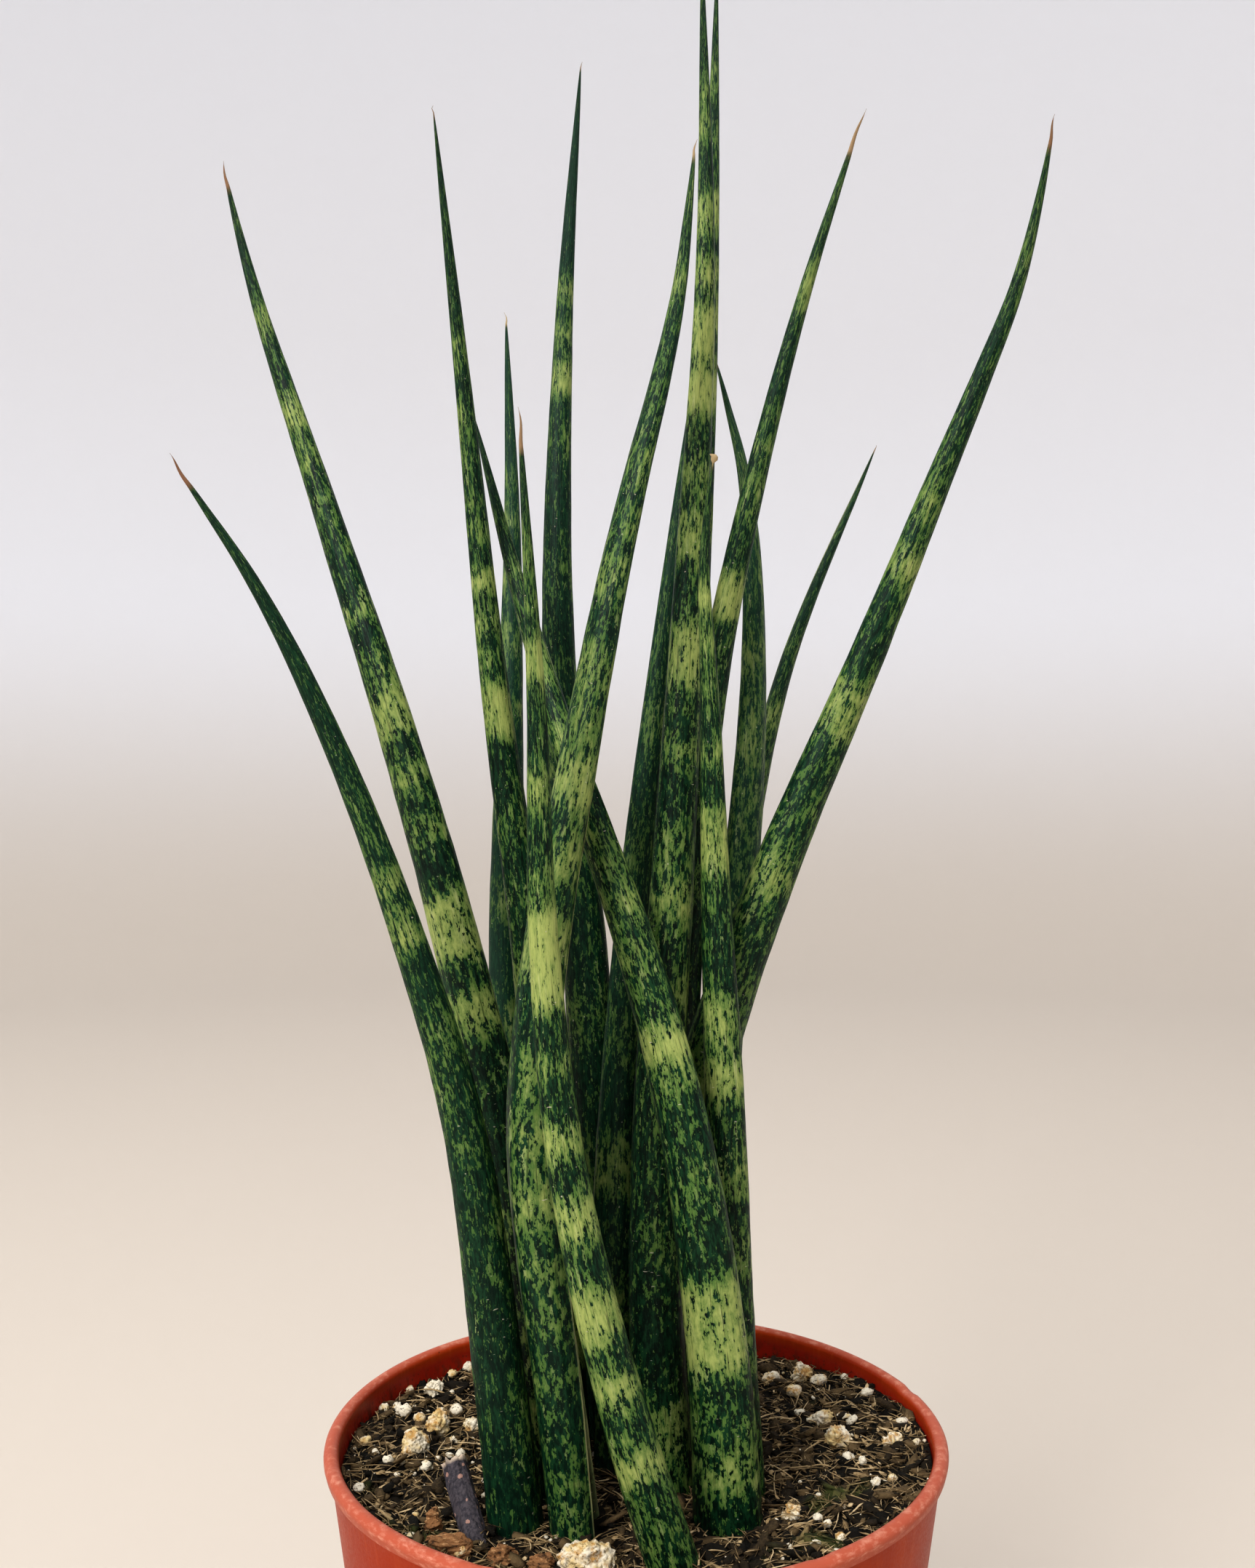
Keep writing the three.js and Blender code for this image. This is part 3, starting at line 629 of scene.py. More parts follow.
def potProfile():
    # Radius and height, from the middle of the underside out, up, over the lip and back in; corners are soft
    form = potForm
    foot, pad, floor, footHeight = form["foot"], form["pad"], form["floor"], form["footHeight"]
    ring, lipFoot = foot - form["ringWidth"], form["height"] - form["lip"]
    points = [(0, 0), (pad, 0), (pad + 1, 0.4), (pad + 1.5, footHeight), (ring - 1.5, footHeight),
              (ring - 0.5, 0.3), (ring, 0), (foot - 0.6, 0), (foot - 0.1, 0.35)]
    points += [(wallRadius(z), z) for z in np.linspace(1.0, lipFoot - 0.25, 30)]
    points += [(wallRadius(lipFoot) + 0.25, lipFoot - 0.02), (form["rim"] - 0.25, lipFoot + 0.12)]
    inner, up = wallRadius(lipFoot) - form["wall"], form["lipRound"]
    for angle in np.linspace(-0.25, math.pi + 0.05, 13):
        points.append(((form["rim"] + inner) / 2 + math.cos(angle) * (form["rim"] - inner) / 2,
                       form["height"] - up + math.sin(angle) * up))
    points += [(wallRadius(z) - form["wall"], z) for z in np.linspace(lipFoot - 0.2, floor + 1.2, 26)]
    low = wallRadius(floor) - form["wall"]
    return points + [(low - 0.3, floor + 0.3), (low - 1.2, floor), (0, floor)]


def makePotPlastic():
    material, tree, shader = newMaterial("potPlastic", Specular_IOR_Level=0.12)
    place = objectPlace(tree)
    lip, inside = painted(tree, "potLip"), painted(tree, "potShadedInside")
    drawn = grainy(tree, place, (0.9, 0.9, 0.03), 3.0, 0.6)
    grain = grainy(tree, place, 2.2, 3.0, 0.6)
    cloud = spread(tree, grainy(tree, place, (0.06, 0.06, 0.03), 3.0), 0.35, 0.65)
    colour = blendColours(tree, cloud, potColours["outsideDeep"], potColours["outside"])
    colour = blendColours(tree, spread(tree, drawn, 0.52, 0.75, (0.0, 0.2)), colour, potColours["dust"])
    # The inside is a darker red: painted shade inside the pot
    colour = blendColours(tree, inside, colour, potColours["inside"])
    # The lip is paler and pinkish: its own wear and dust, with a painted highlight along it
    rubbedAndHighlight = spread(tree, grainy(tree, place, (0.5, 0.5, 1.4), 4.0, 0.65), 0.46, 0.74)
    lipWearAndHighlight = blendColours(tree, rubbedAndHighlight, potColours["lip"], potColours["scuffedAndHighlight"])
    colour = blendColours(tree, times(tree, lip, 0.92), colour, lipWearAndHighlight)

    # Soil clings to the inside below the lip, and single crumbs and dust all over
    nearSoil = spread(tree, heightOf(tree, place), potForm["soiledFrom"], potForm["soiledWhole"])
    crumbs = placeGroup(tree, specks, Place=place, Spacing=0.9, Size=0.28, Share=0.6)
    smear = spread(tree, grainy(tree, place, (0.7, 0.7, 0.3), 4.0, 0.65), 0.45, 0.7)
    dirt = times(tree, times(tree, inside, nearSoil), calc(tree, "MAXIMUM", crumbs, smear))
    strays = placeGroup(tree, specks, Place=place, Spacing=3.2, Size=0.07, Share=0.35)
    dirt = calc(tree, "MAXIMUM", times(tree, dirt, 0.85), times(tree, strays, 0.6))
    colour = blendColours(tree, dirt, colour, potColours["soil"])
    dust = placeGroup(tree, specks, Place=place, Spacing=1.6, Size=0.06, Share=0.08)
    colour = blendColours(tree, times(tree, dust, 0.6), colour, potColours["dust"])

    rough = spread(tree, grain, 0.3, 0.7, (0.34, 0.46))
    rough = calc(tree, "MULTIPLY_ADD", calc(tree, "MAXIMUM", times(tree, rubbedAndHighlight, lip), dirt), 0.25, rough)
    uneven = calc(tree, "MULTIPLY_ADD", drawn, 0.6, times(tree, grain, 0.25))
    dress(tree, shader, colour, calc(tree, "MULTIPLY_ADD", dirt, 0.8, uneven), 0.12, 0.5, rough)
    return material


def addRod(sides, radius, depth, away, angle, height=0.0, lying=False):
    # A rod to cut with, at an angle round the axis; a lying one points outwards
    letGo()
    bpy.ops.mesh.primitive_cylinder_add(
        vertices=sides, radius=radius * mm, depth=depth * mm,
        rotation=(0, math.pi / 2, angle) if lying else (0, 0, 0),
        location=(math.cos(angle) * away * mm, math.sin(angle) * away * mm, height * mm))
    return bpy.context.object


def cutHoles(piece):
    # Holes through the floor, and notches in the foot ring half way between them
    form = potForm
    holeRing = (form["pad"] + form["foot"] - form["ringWidth"]) / 2
    rods = []
    for i in range(form["holes"]):
        angle = 2 * math.pi * i / form["holes"]
        rods.append(addRod(form["holeSides"], form["holeRadius"], form["holeReach"], holeRing, angle))
        angle += math.pi / form["holes"]
        rods.append(addRod(form["notchSides"], form["notch"] / 2, form["notchReach"], form["foot"], angle,
                           -form["notchDrop"], lying=True))
    letGo()
    for rod in rods:
        rod.select_set(True)
    bpy.context.view_layer.objects.active = rods[0]
    bpy.ops.object.join()
    cutter = bpy.context.object
    cut = piece.modifiers.new("holes", "BOOLEAN")
    cut.operation, cut.object, cut.solver, cut.use_self = "DIFFERENCE", cutter, "EXACT", True
    pick(piece)
    bpy.ops.object.modifier_apply(modifier=cut.name)
    bpy.data.objects.remove(cutter)


def makePot():
    form = potForm
    piece = spun("pot_shell", [(r * mm, z * mm) for r, z in potProfile()], form["steps"])
    weld(piece, 0.01)
    cutHoles(piece)

    co = places(piece.data) / mm
    radius, angle, z = np.hypot(co[:, 0], co[:, 1]), np.arctan2(co[:, 1], co[:, 0]), co[:, 2]
    wall, lipFoot = wallRadius(z), form["height"] - form["lip"]
    inside = (radius < wall - form["wall"] * 0.5) & (z > form["floor"] - 0.2) & (z < lipFoot + 0.5)
    lip = np.clip((z - lipFoot + 0.3) / 0.5, 0, 1) * np.clip((radius - wall + form["wall"] + 0.1) / 0.3, 0, 1)
    waves = np.sin(2 * angle + 0.8) + 0.5 * np.sin(5 * angle + 2.0)
    bend = form["wobble"] * waves * np.clip(z / form["height"], 0, 1) ** 2 * np.clip(radius / 20, 0, 1)
    upLip = np.clip((z - lipFoot) / form["lip"], 0, 1)
    drop = np.zeros(len(co))
    for degrees, depth, halfWidth in form["nicks"]:
        away = np.abs((angle - math.radians(degrees) + math.pi) % (2 * math.pi) - math.pi) * form["rim"]
        drop += depth * np.clip(1 - away / halfWidth, 0, 1) ** 0.7 * upLip
    co[:, :2] *= ((radius + bend - 0.15 * np.abs(bend)) / np.maximum(radius, 1e-6))[:, None]
    co[:, 2] -= drop
    setPlaces(piece.data, co * mm)
    paint(piece.data, "potLip", lip)
    paint(piece.data, "potShadedInside", inside)
    finishPiece(piece, makePotPlastic(), "pot_plastic", "pot", angle=38)


makePot()
print("pot made")


mixForm = {
    "drop": 8.0, "sideRise": 4.4, "frontRise": 1.6, "backRise": 1.0, "tilt": 1.0, "gap": 0.12, "cells": 210,
    "edge": 49.5, "calm": 6.0, "bump": 1.25,    # radius at the wall, width of the calmer edge, clods
    "clods": [(0.28, 0.7), (0.8, 0.45), (2.1, 0.25)],   # how close together, how high
    "clear": 0.35,                      # room left under and beside its foot
    # the body shows between the crumbs and is near black: the mix's own dark colour and painted shade in the
    # gaps
    "tone": 0.08,
}
mixColours = {
    "black": srgb(18, 16, 11), "dark": srgb(46, 38, 27), "brown": srgb(100, 83, 58),
    "tan": srgb(168, 144, 106), "straw": srgb(214, 190, 150), "moss": srgb(84, 92, 46),
}


def mixReach(z):
    return wallRadius(z) - potForm["wall"]


def mixHeight(x, y):
    form = mixForm
    top = potForm["height"] - form["drop"]
    reach = mixReach(top)
    return (top + form["sideRise"] * (x / reach) ** 2 + form["tilt"] * x / reach
            + form["frontRise"] * max(0, -y / reach) ** 2 + form["backRise"] * max(0, y / reach) ** 2)


def mixSurface(x, y):
    # The same with its clods and hollows
    spot = Vector((x, y, 3.0))
    clods = sum(noise.noise(spot * closeness) * high for closeness, high in mixForm["clods"])
    calm = min(1, max(0.25, (mixForm["edge"] - math.hypot(x, y)) / mixForm["calm"]))
    return mixHeight(x, y) + mixForm["bump"] * clods * calm


def makeMixBrown(name, low, high):
    material, tree, shader = newMaterial(name, roughness=0.95, Specular_IOR_Level=0.2)
    place = objectPlace(tree)
    fine = grainy(tree, place, 1.7, 4.0, 0.65)
    shade = swing(tree, fine, 0.5, painted(tree, "mixTone"))
    shade = swing(tree, grainy(tree, place, 0.16, 3.0), 0.4, shade)
    colour = blendColours(tree, spread(tree, shade, 0.0, 0.4), mixColours["black"], mixColours[low])
    colour = blendColours(tree, spread(tree, shade, 0.35, 0.72), colour, mixColours[high])
    colour = blendColours(tree, spread(tree, shade, 0.8, 1.1), colour, mixColours["straw"])
    mossy = times(tree, spread(tree, grainy(tree, place, 0.09), 0.62, 0.74), 0.5)
    colour = blendColours(tree, mossy, colour, mixColours["moss"])
    dress(tree, shader, colour, fine, 0.35, 0.8)
    return material


mixBrown = makeMixBrown("mixBrown", "dark", "brown")
mixFibre = makeMixBrown("mixFibre", "brown", "tan")


def makeMixBody():
    form = mixForm
    piece = newGrid("potting_mix_body", form["cells"], form["cells"], size=2)
    co = places(piece.data)
    for i, (x, y, _) in enumerate(co.copy()):       # the square grid is drawn out to a disc
        share = max(abs(x), abs(y))
        flat = abs(x) >= abs(y)
        angle = math.pi / 4 * y / (x or 1) if flat else math.pi / 2 - math.pi / 4 * x / (y or 1)
        flip = np.sign(x) if flat else np.sign(y)
        ux, uy = (math.cos(angle) * flip, math.sin(angle) * flip) if share > 1e-9 else (1, 0)
        reach = share * (mixReach(mixHeight(ux * form["edge"], uy * form["edge"])) - form["gap"])
        co[i] = ux * reach * mm, uy * reach * mm, mixSurface(ux * reach, uy * reach) * mm
    setPlaces(piece.data, co)

    # Its rim goes down the wall of the pot to the floor, and is closed there
    pick(piece)
    bpy.ops.object.mode_set(mode="EDIT")
    bpy.ops.mesh.select_all(action="DESELECT")
    bpy.ops.mesh.select_mode(type="EDGE")
    bpy.ops.mesh.select_non_manifold()
    bpy.ops.mesh.extrude_region_move(TRANSFORM_OT_translate={"value": (0, 0, -40 * mm)})
    bpy.ops.object.mode_set(mode="OBJECT")
    low = potForm["floor"] + form["clear"]
    co = places(piece.data)
    foot = np.array([v.select for v in piece.data.vertices])
    co[foot, :2] *= ((mixReach(low) - form["clear"]) * mm / np.hypot(co[foot, 0], co[foot, 1]))[:, None]
    co[foot, 2] = low * mm
    setPlaces(piece.data, co)
    bpy.ops.object.mode_set(mode="EDIT")
    bpy.ops.mesh.edge_face_add()
    bpy.ops.mesh.select_mode(type="VERT")
    bpy.ops.mesh.select_all(action="SELECT")
    bpy.ops.mesh.normals_make_consistent(inside=False)
    bpy.ops.object.mode_set(mode="OBJECT")
    # Near black: the mix's own dark colour with painted shade for the gaps between crumbs
    paint(piece.data, "mixTone", np.full(len(piece.data.vertices), form["tone"]))
    finishPiece(piece, mixBrown, "potting_mix", "potting_mix")


makeMixBody()
print("potting mix body made")


def standing():
    # What crumbs stay clear of: each leaf's foot, stone and bark chunk, with its middle and half width
    spots, ground = [], 85 * mm
    for node in leaves:
        knots, _ = leafKnots(node)
        for (a, _, width), (b, _, _) in zip(knots, knots[1:]):
            if a.z <= ground < b.z:
                at = a.lerp(b, (ground - a.z) / (b.z - a.z)) / mm
                spots.append((at.x, at.y, width / mm / 2))
    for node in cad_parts:
        if node.startswith(("pumice", "bark")):
            corners = places(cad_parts[node].data) / mm
            middle, half = (corners.max(0) + corners.min(0)) / 2, (corners.max(0) - corners.min(0)) / 2
            spots.append((middle[0], middle[1], min(half[0], half[1])))
    return spots


taken = standing()
rng = random.Random(77)


def freeSpot(margin=0.3, reach=49.6):
    while True:
        r, angle = reach * math.sqrt(rng.uniform(0, 1)), rng.uniform(0, 2 * math.pi)
        x, y = r * math.cos(angle), r * math.sin(angle)
        if all(math.hypot(x - sx, y - sy) > half * 0.8 + margin for sx, sy, half in taken):
            return x, y


def crumbShape(uneven, seed):
    # A lump of 24 faces
    letGo()
    bpy.ops.mesh.primitive_cube_add(size=1)
    piece = bpy.context.object
    editAll(piece)
    bpy.ops.mesh.subdivide(number_cuts=1)
    bpy.ops.object.mode_set(mode="OBJECT")
    co = places(piece.data)
    faces = [tuple(p.vertices) for p in piece.data.polygons]
    bpy.data.objects.remove(piece)
    local = random.Random(seed)
    co /= np.linalg.norm(co, axis=1)[:, None] * 2
    co *= 1 + np.array([[local.uniform(-uneven, uneven)] for _ in co])
    return co, faces


def fibreShape(bends, seed, steps, sides=3):
    # A curled thread one unit long: points on its line, the way out from them to its skin, and its faces
    piece = newGrid("fibre", sides, steps)
    faces = [tuple(p.vertices) for p in piece.data.polygons]
    bpy.data.objects.remove(piece)
    local = random.Random(seed)
    wave = local.uniform(0.6, 1.6), local.uniform(0, 6.28), local.uniform(0.4, 1.2)
    line, out = [], []
    for row in range(steps + 1):
        t = row / steps
        thick = 0.08 if row in (0, steps) else 1 - 0.5 * t
        y = bends * math.sin(wave[1] + t * 3.1 * wave[0])
        z = 0.35 * bends * math.sin(wave[1] * 2 + t * 3.1 * wave[2]) + 0.04 * math.sin(math.pi * t)
        for i in range(sides + 1):
            angle = 2 * math.pi * i / sides
            line.append((t - 0.5, y, z))
            out.append((0, math.cos(angle) * thick, math.sin(angle) * thick))
    return np.array(line), np.array(out), faces


def gather(name, bits, material, slot):
    # Many small bits, each with its points, faces and tone, made one piece
    faces, start = [], 0
    for co, bitFaces, _ in bits:
        faces += [tuple(i + start for i in face) for face in bitFaces]
        start += len(co)
    mesh = bpy.data.meshes.new(name)
    mesh.from_pydata(np.vstack([co for co, _, _ in bits]) * mm, [], faces)
    paint(mesh, "mixTone", np.concatenate([np.full(len(co), tone) for co, _, tone in bits]))
    piece = newObject(name, mesh)
    weld(piece, 0.0005)
    return finishPiece(piece, material, slot)


def laid(co, size, turn, spot, gap):
    # A bit sized, turned and laid at its spot, and kept inside the pot by the gap
    about = Matrix.Rotation(turn[2], 3, "Z") @ Matrix.Rotation(turn[1], 3, "Y")
    about = np.array(about @ Matrix.Rotation(turn[0], 3, "X"))
    made = (co * np.array(size)) @ about.T + spot
    away = np.hypot(made[:, 0], made[:, 1])
    made[:, :2] *= np.minimum(1, (mixReach(made[:, 2]) - gap) / away)[:, None]
    return made


# Loose bits, sizes in millimetres: "flat" is height by width, "long" how much longer than wide at most,
# "stand" how far their middles lie above the mix, in shares of their height
crumbForms = {
    "mix_crumbs": {"count": 3400, "size": (0.4, 2.3), "flat": (0.35, 0.75), "tone": (0.0, 0.75),
                   "uneven": 0.42, "long": 1.8, "stand": 0.2},
    "mix_chips": {"count": 1700, "size": (0.35, 1.1), "flat": (0.25, 0.55), "tone": (0.1, 1.0),
                  "uneven": 0.22, "long": 4.0, "stand": 0.8},
    "perlite_grit": {"count": 90, "size": (0.7, 2.2), "flat": (0.6, 0.95), "tone": (0, 1),
                     "uneven": 0.18, "long": 0.4, "stand": 0.35},
    "perlite_dust": {"count": 220, "size": (0.25, 0.7), "flat": (0.6, 0.95), "tone": (0, 1),
                     "uneven": 0.15, "long": 0.3, "stand": 0.5},
}
fibreForms = {
    "mix_fibres": {"count": 2200, "length": (1.8, 7.5), "width": (0.14, 0.44), "steps": 6,
                   "tone": (0.1, 1.1)},
    "mix_threads": {"count": 3000, "length": (1.2, 4.5), "width": (0.08, 0.18), "steps": 4,
                    "tone": (0.2, 1.15)},
}
fibreBends = (0.01, 0.03, 0.05, 0.11, 0.02, 0.07, 0.04)


def scatterCrumbs(name, material, slot):
    form = crumbForms[name]
    kinds = [crumbShape(form["uneven"], seed) for seed in range(9)]
    bits = []
    for _ in range(form["count"]):
        x, y = freeSpot()
        size = between(form["size"], rng.random() ** 2.5)
        co, faces = rng.choice(kinds)
        stretch = size * rng.uniform(1, 1 + form["long"]), size, size * rng.uniform(*form["flat"])
        turn = rng.uniform(-0.6, 0.6), rng.uniform(-0.6, 0.6), rng.uniform(0, 6.28)
        spot = x, y, mixSurface(x, y) + stretch[2] * form["stand"]
        bits.append((laid(co, stretch, turn, spot, 0.05), faces, rng.uniform(*form["tone"])))
    gather(name, bits, material, slot)


def scatterFibres(name):
    form = fibreForms[name]
    kinds = [fibreShape(bend, seed, form["steps"]) for seed, bend in enumerate(fibreBends)]
    bits = []
    for _ in range(form["count"]):
        x, y = freeSpot(margin=0.4, reach=49.4)
        length = between(form["length"], rng.random() ** 2)
        width = rng.uniform(*form["width"])
        line, out, faces = rng.choice(kinds)
        turn = rng.uniform(-0.5, 0.5), rng.gauss(0, 0.22), rng.uniform(0, 6.28)
        spot = x, y, mixSurface(x, y) + 0.25 + rng.random() * 0.5
        made = laid(line * length + out * width / 2, (1, 1, 1), turn, spot, 0.1)
        bits.append((made, faces, rng.uniform(*form["tone"])))
    gather(name, bits, mixFibre, "potting_mix")


scatterCrumbs("mix_crumbs", mixBrown, "potting_mix")
scatterCrumbs("mix_chips", mixFibre, "potting_mix")
scatterFibres("mix_fibres")
scatterFibres("mix_threads")
print("crumbs and fibres made")


stoneColours = {
    "cream": srgb(218, 194, 142), "white": srgb(232, 222, 200),
    "ochre": srgb(186, 144, 84), "pit": srgb(104, 80, 50),
}
woodColours = {
    "barkDark": srgb(62, 44, 30), "bark": srgb(136, 98, 64), "barkLight": srgb(194, 154, 110),
    "stubDark": srgb(46, 44, 50), "stub": srgb(78, 72, 76), "stubPale": srgb(206, 186, 164),
    "lenticel": srgb(168, 132, 118), "root": srgb(168, 132, 84), "rootLight": srgb(206, 178, 128),
}


def makePumiceStone(name, whiteness):
    material, tree, shader = newMaterial(name, roughness=0.92, Specular_IOR_Level=0.25)
    place = objectPlace(tree)
    tint = spread(tree, grainy(tree, place, 0.35, 3.0, 0.6), 0.4 + whiteness, 0.6 + whiteness)
    colour = blendColours(tree, tint, stoneColours["white"], stoneColours["cream"])
    tint = spread(tree, grainy(tree, place, 0.5, 4.0, 0.65), 0.48 + whiteness, 0.66 + whiteness)
    colour = blendColours(tree, tint, colour, stoneColours["ochre"])
    pores = grainy(tree, place, 2.4, 3.0, 0.7)
    # The pits are darkened: painted shade in the pores
    pits = spread(tree, pores, 0.42, 0.3)
    colour = blendColours(tree, times(tree, pits, 0.75), colour, stoneColours["pit"])
    soiled = placeGroup(tree, specks, Place=place, Spacing=0.7, Size=0.16, Share=0.2)
    colour = blendColours(tree, times(tree, soiled, 0.7), colour, mixColours["dark"])
    dress(tree, shader, colour, calc(tree, "SUBTRACT", pores, pits), 0.3, 0.8)
    return material


def makeBarkWood():
    material, tree, shader = newMaterial("barkWood", roughness=0.9, Specular_IOR_Level=0.25)
    place = objectPlace(tree)
    flake = grainy(tree, place, (0.5, 1.1, 1.6), 4.0, 0.65)
    fine = grainy(tree, place, 2.6, 3.0, 0.6)
    colour = blendColours(tree, spread(tree, flake, 0.32, 0.52), woodColours["barkDark"], woodColours["bark"])
    colour = blendColours(tree, spread(tree, flake, 0.54, 0.7), colour, woodColours["barkLight"])
    colour = blendColours(tree, spread(tree, fine, 0.6, 0.75, (0.0, 0.6)), colour, woodColours["barkDark"])
    dress(tree, shader, colour, calc(tree, "ADD", flake, times(tree, fine, 0.5)), 0.5, 0.9)
    return material


def makeStubBark():
    material, tree, shader = newMaterial("stubBark", roughness=0.85, Specular_IOR_Level=0.3)
    place = objectPlace(tree)
    fine = grainy(tree, place, (2.2, 2.2, 0.7), 3.0, 0.6)
    colour = blendColours(tree, spread(tree, fine, 0.35, 0.65), woodColours["stubDark"], woodColours["stub"])
    spots = placeGroup(tree, specks, Place=place, Spacing=1.6, Size=0.24, Share=0.9)
    colour = blendColours(tree, times(tree, spots, 0.85), colour, woodColours["lenticel"])
    colour = blendColours(tree, painted(tree, "stubEnd"), colour, woodColours["stubPale"])
    dress(tree, shader, colour, calc(tree, "MULTIPLY_ADD", spots, 0.5, fine), 0.3, 0.8)
    return material


def makeRootBuff():
    material, tree, shader = newMaterial("rootBuff", roughness=0.85)
    fine = grainy(tree, objectPlace(tree), (0.6, 0.6, 0.6), 4.0, 0.6)
    colour = blendColours(tree, spread(tree, fine, 0.4, 0.65), woodColours["root"], woodColours["rootLight"])
    dress(tree, shader, colour, fine, 0.5, 0.6)
    return material


pumiceCream = makePumiceStone("pumiceCream", 0.0)
perliteWhite = makePumiceStone("perliteWhite", 0.16)


def refine(piece, cuts, smooth=1.0):
    for _ in range(cuts):
        editAll(piece)
        bpy.ops.mesh.subdivide(number_cuts=1, smoothness=smooth)
        bpy.ops.object.mode_set(mode="OBJECT")


def roughen(piece, coarse, fine, seed, squash=(1, 1, 1)):
    # Moves the surface in and out by lumps and by pits: how close together, and how far in millimetres
    mesh = piece.data
    co = places(mesh) / mm
    normals = np.empty(co.size)
    mesh.vertices.foreach_get("normal", normals)
    offset = Vector((seed * 13.1, seed * 7.7, seed * 3.3))
    for p, normal in zip(co, normals.reshape(-1, 3)):
        spot = Vector(p * squash) + offset
        lump = noise.noise(spot * coarse[0]) * coarse[1]
        pit = abs(noise.noise(spot * fine[0])) * fine[1] * 2 - fine[1]
        grit = noise.noise(spot * fine[0] * 2.3) * fine[1] * 0.5
        p += normal * (lump + pit + grit)
    setPlaces(mesh, co * mm)


# How each kind of chunk is rounded from its CAD shape, roughened and swollen
chunkForms = {
    "pumice": {"count": 12, "white": (4, 5), "bulge": 1.0, "rounds": 12, "swell": 1.12,
               "coarse": (0.55, 0.4), "fine": (1.3, 0.34), "seed": 0, "squash": (1, 1, 1)},
    "bark": {"count": 4, "white": (), "bulge": 0.6, "rounds": 0, "swell": 1.1,
             "coarse": (0.5, 0.5), "fine": (1.1, 0.35), "seed": 40, "squash": (0.5, 1.2, 1.6)},
}


def makeChunks(kind, ending, material):
    form = chunkForms[kind]
    for number in range(1, form["count"] + 1):
        node = f"{kind}_{number:02d}"
        piece = mergedCopy(node, node + ending)
        refine(piece, 3, form["bulge"])
        if form["rounds"]:
            editAll(piece)
            bpy.ops.mesh.vertices_smooth(factor=0.5, repeat=form["rounds"])
            bpy.ops.object.mode_set(mode="OBJECT")
        roughen(piece, form["coarse"], form["fine"], number + form["seed"], form["squash"])
        co = places(piece.data)
        middle = (co.max(0) + co.min(0)) / 2
        setPlaces(piece.data, middle + (co - middle) * form["swell"])
        finishPiece(piece, perliteWhite if number in form["white"] else material, kind, node)


makeChunks("pumice", "_stone", pumiceCream)
makeChunks("bark", "_chunk", makeBarkWood())

stubForm = {
    "axis": (-7, 14.5, 13),             # the way it leans
    "torn": 1.1, "fade": 0.7, "ragged": 0.9, "sink": 0.3,       # length of the torn end, and how ragged it is
    "coarse": (0.5, 0.22), "fine": (1.3, 0.14),
}


def makeStub():
    form = stubForm
    piece = mergedCopy("stem_stub", "stem_stub_bark")
    refine(piece, 3, 0.0)
    axis = np.array(Vector(form["axis"]).normalized())
    along = places(piece.data) / mm @ axis
    end = np.clip((along - along.max() + form["torn"]) / form["fade"], 0, 1)
    paint(piece.data, "stubEnd", end)
    roughen(piece, form["coarse"], form["fine"], 90)
    co = places(piece.data) / mm
    ragged = np.array([noise.noise(Vector(p) * 1.6) for p in co]) * form["ragged"] - form["sink"]
    setPlaces(piece.data, (co + axis * (ragged * end)[:, None]) * mm)
    finishPiece(piece, makeStubBark(), "stem_stub", "stem_stub", angle=60)


makeStub()

# Small stones by kind: right, back and size, in millimetres
smallStones = {
    "cream": [(-36, 34, 2.4), (-43, 25, 2.2), (-39, 13, 2.6), (-47, 3, 1.9), (-32, 7, 2), (-35, -21, 1.6),
              (-27, -31, 2.4), (30, 24, 2.8), (35, 28, 3.2), (42, -12, 1.8), (31, -29, 1.8), (37, 12, 1.5),
              (24, -20, 2), (-41, 18, 1.7), (-24, 26, 2.2), (-13, 41, 2.2), (12, 44, 2.4), (22, 38, 2)],
    "white": [(-33, 37, 2.6), (-46, 16, 2.1), (-42, 15, 2.6), (-33, 18, 2.5), (-45, -14, 1.9), (-24, 5, 1.6),
              (-25, -6, 1.7), (43, 20, 2), (38, 11, 1.7), (36, -4, 2.1), (38, -6, 1.6), (48, -2, 1.6),
              (39, -14, 1.8), (27, -30, 1.7), (23, -30, 1.5), (8, -7, 2.6), (30, 16, 2), (27, 32, 2.5),
              (-4, 46, 2), (-26, 39, 2.1), (40, 28, 1.7), (-8, -42, 1.7), (14, -43, 1.6)],
}


def layStones(kind, material):
    kinds = [crumbShape(0.16, seed) for seed in range(20, 28)]
    bits = []
    for x, y, size in smallStones[kind]:
        co, faces = rng.choice(kinds)
        stretch = size * rng.uniform(0.95, 1.3), size, size * rng.uniform(0.7, 0.95)
        turn = rng.uniform(-0.4, 0.4), rng.uniform(-0.4, 0.4), rng.uniform(0, 6.28)
        spot = x, y, mixSurface(x, y) + 0.35 * stretch[2]
        bits.append((laid(co, stretch, turn, spot, 0.05), faces, 0))
    piece = gather("small_stones_" + kind, bits, material, "pumice")
    refine(piece, 2)
    roughen(piece, (0.9, 0.2), (2.2, 0.16), 3)


layStones("cream", pumiceCream)
layStones("white", perliteWhite)
scatterCrumbs("perlite_grit", perliteWhite, "pumice")
scatterCrumbs("perlite_dust", perliteWhite, "pumice")
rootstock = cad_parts["rootstock"].data        # hidden in the mix
rootstock.materials.clear()
rootstock.materials.append(makeRootBuff())
print("pumice, bark, stub and rootstock made")


stageForm = {
    "flat": 1.2, "curve": 0.9, "height": 3.4, "steps": 96,      # metres
    "floor": srgb(204, 194, 182), "wall": srgb(234, 234, 237), "turnsPale": 500.0,      # millimetres
}


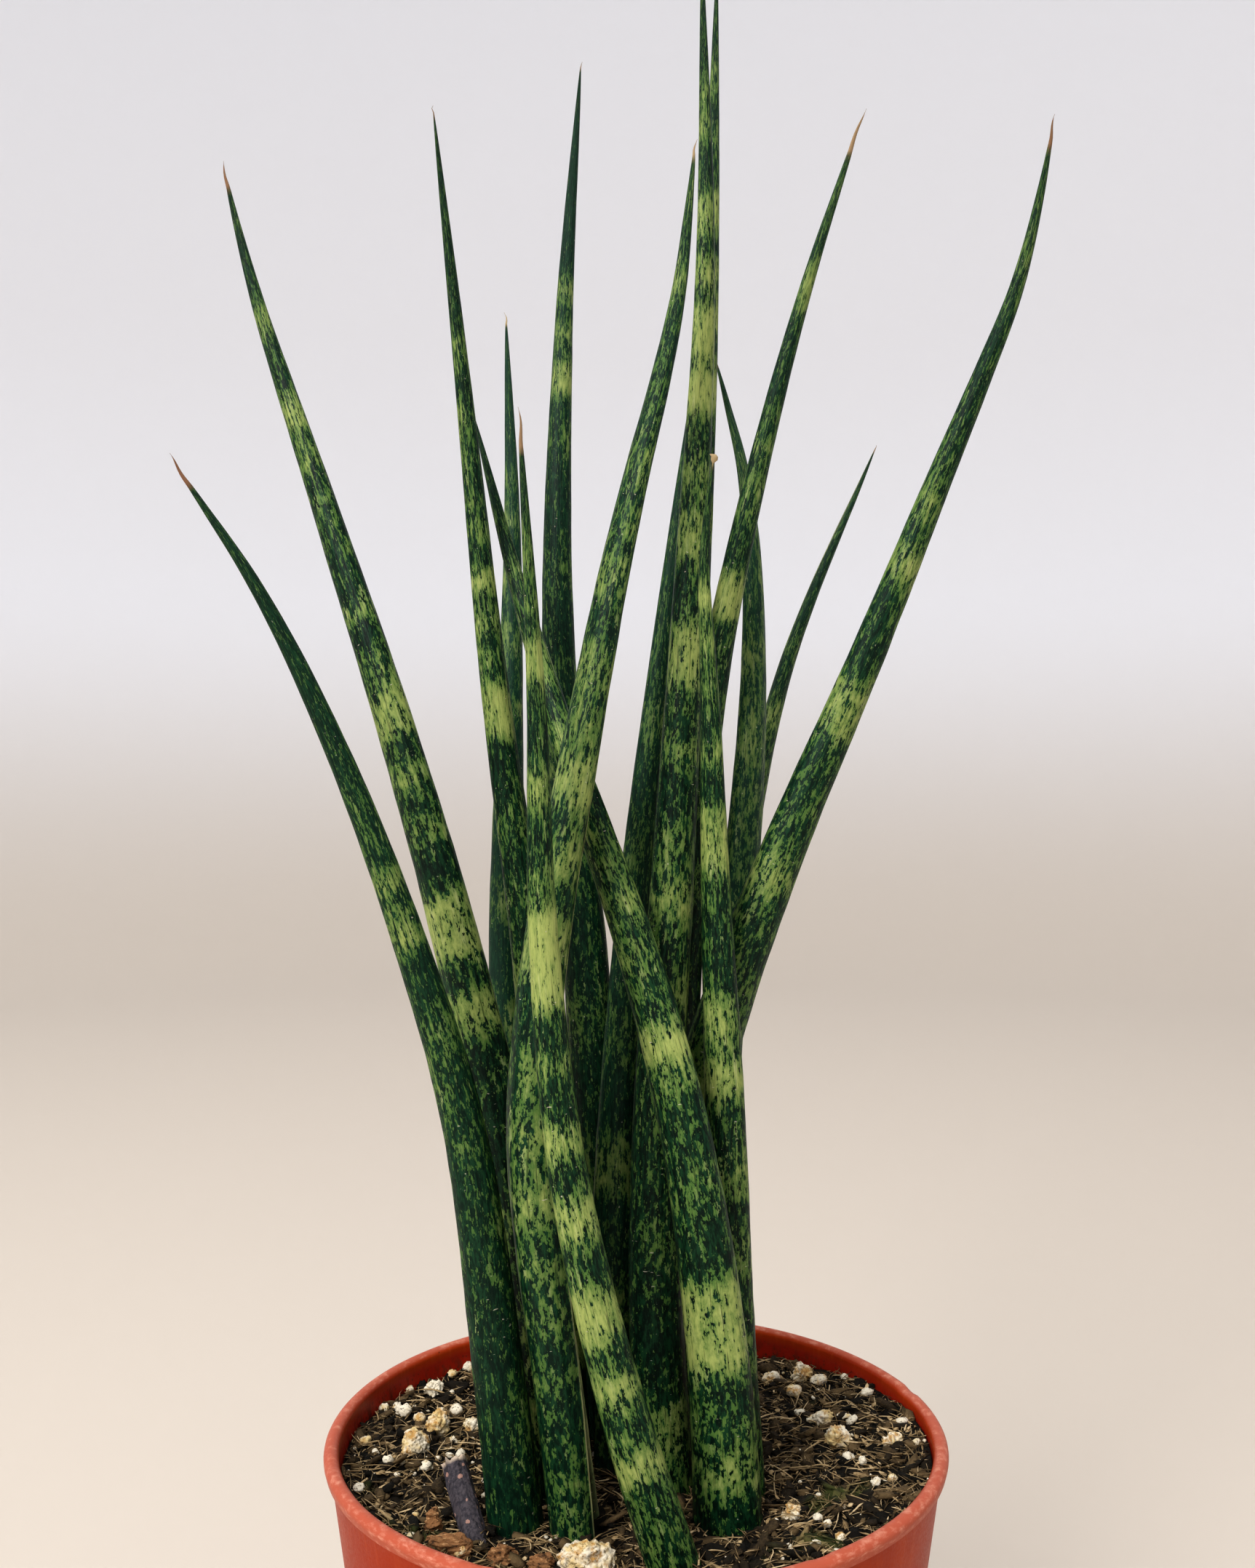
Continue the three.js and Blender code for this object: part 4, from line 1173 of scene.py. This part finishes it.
def makeStage():
    form = stageForm
    points = [(r, 0) for r in np.linspace(0, form["flat"], 6)]
    points += [(form["flat"] + form["curve"] * math.sin(a), form["curve"] * (1 - math.cos(a)))
               for a in np.linspace(0, math.pi / 2, 24)[1:]]
    points.append((form["flat"] + form["curve"], form["height"]))
    floor = spun("pale_floor", points, form["steps"])
    weld(floor, 0.1, outward=False)
    pick(floor)
    bpy.ops.object.shade_smooth()
    material, tree, shader = newMaterial("paleFloor", roughness=0.9, Specular_IOR_Level=0.1)
    paler = spread(tree, heightOf(tree, objectPlace(tree)), 0.0, form["turnsPale"])
    tree.links.new(blendColours(tree, paler, form["floor"], form["wall"]), shader.inputs["Base Color"])
    floor.data.materials.append(material)
    letGo()


# Metres and watts; each lamp looks at a point on the axis
lamps = {
    "skyPanel": {"place": (-0.3, -0.35, 1.7), "aim": 0.15, "size": 0.9, "power": 11,
                 "colour": (1.0, 0.985, 0.96)},
    "frontPanel": {"place": (-0.6, -0.95, 0.8), "aim": 0.17, "size": 0.5, "power": 10,
                   "colour": (1.0, 0.98, 0.96)},
}
sky = {"colour": (0.95, 0.97, 1.0, 1), "strength": 1.0}
cameraForm = {"place": (-0.00144, -0.2518, 0.2019), "lens": 33.6, "sensor": 36, "clip": (0.01, 20)}


def addLamp(name):
    form = lamps[name]
    lamp = bpy.data.lights.new(name, "AREA")
    lamp.shape, lamp.size, lamp.energy, lamp.color = "SQUARE", form["size"], form["power"], form["colour"]
    holder = newObject(name, lamp)
    holder.location = form["place"]
    towards = Vector((0, 0, form["aim"])) - Vector(form["place"])
    holder.rotation_euler = towards.to_track_quat("-Z", "Y").to_euler()


def addSky():
    world = bpy.data.worlds.new("softSky")
    world.use_nodes = True
    background = world.node_tree.nodes["Background"].inputs
    background["Color"].default_value, background["Strength"].default_value = sky["colour"], sky["strength"]
    bpy.context.scene.world = world
    bpy.context.scene.view_settings.view_transform = "Standard"
    bpy.context.scene.view_settings.look = "Medium High Contrast"


def addCamera():
    view = bpy.data.cameras.new("view")
    view.sensor_fit, view.sensor_width, view.lens = "AUTO", cameraForm["sensor"], cameraForm["lens"]
    view.clip_start, view.clip_end = cameraForm["clip"]
    camera = newObject("view", view)
    camera.location = cameraForm["place"]
    camera.rotation_euler = (math.pi / 2, 0, 0)
    bpy.context.scene.camera = camera


makeStage()
addLamp("skyPanel")
addLamp("frontPanel")
addSky()
addCamera()
print("stage, light and camera made")
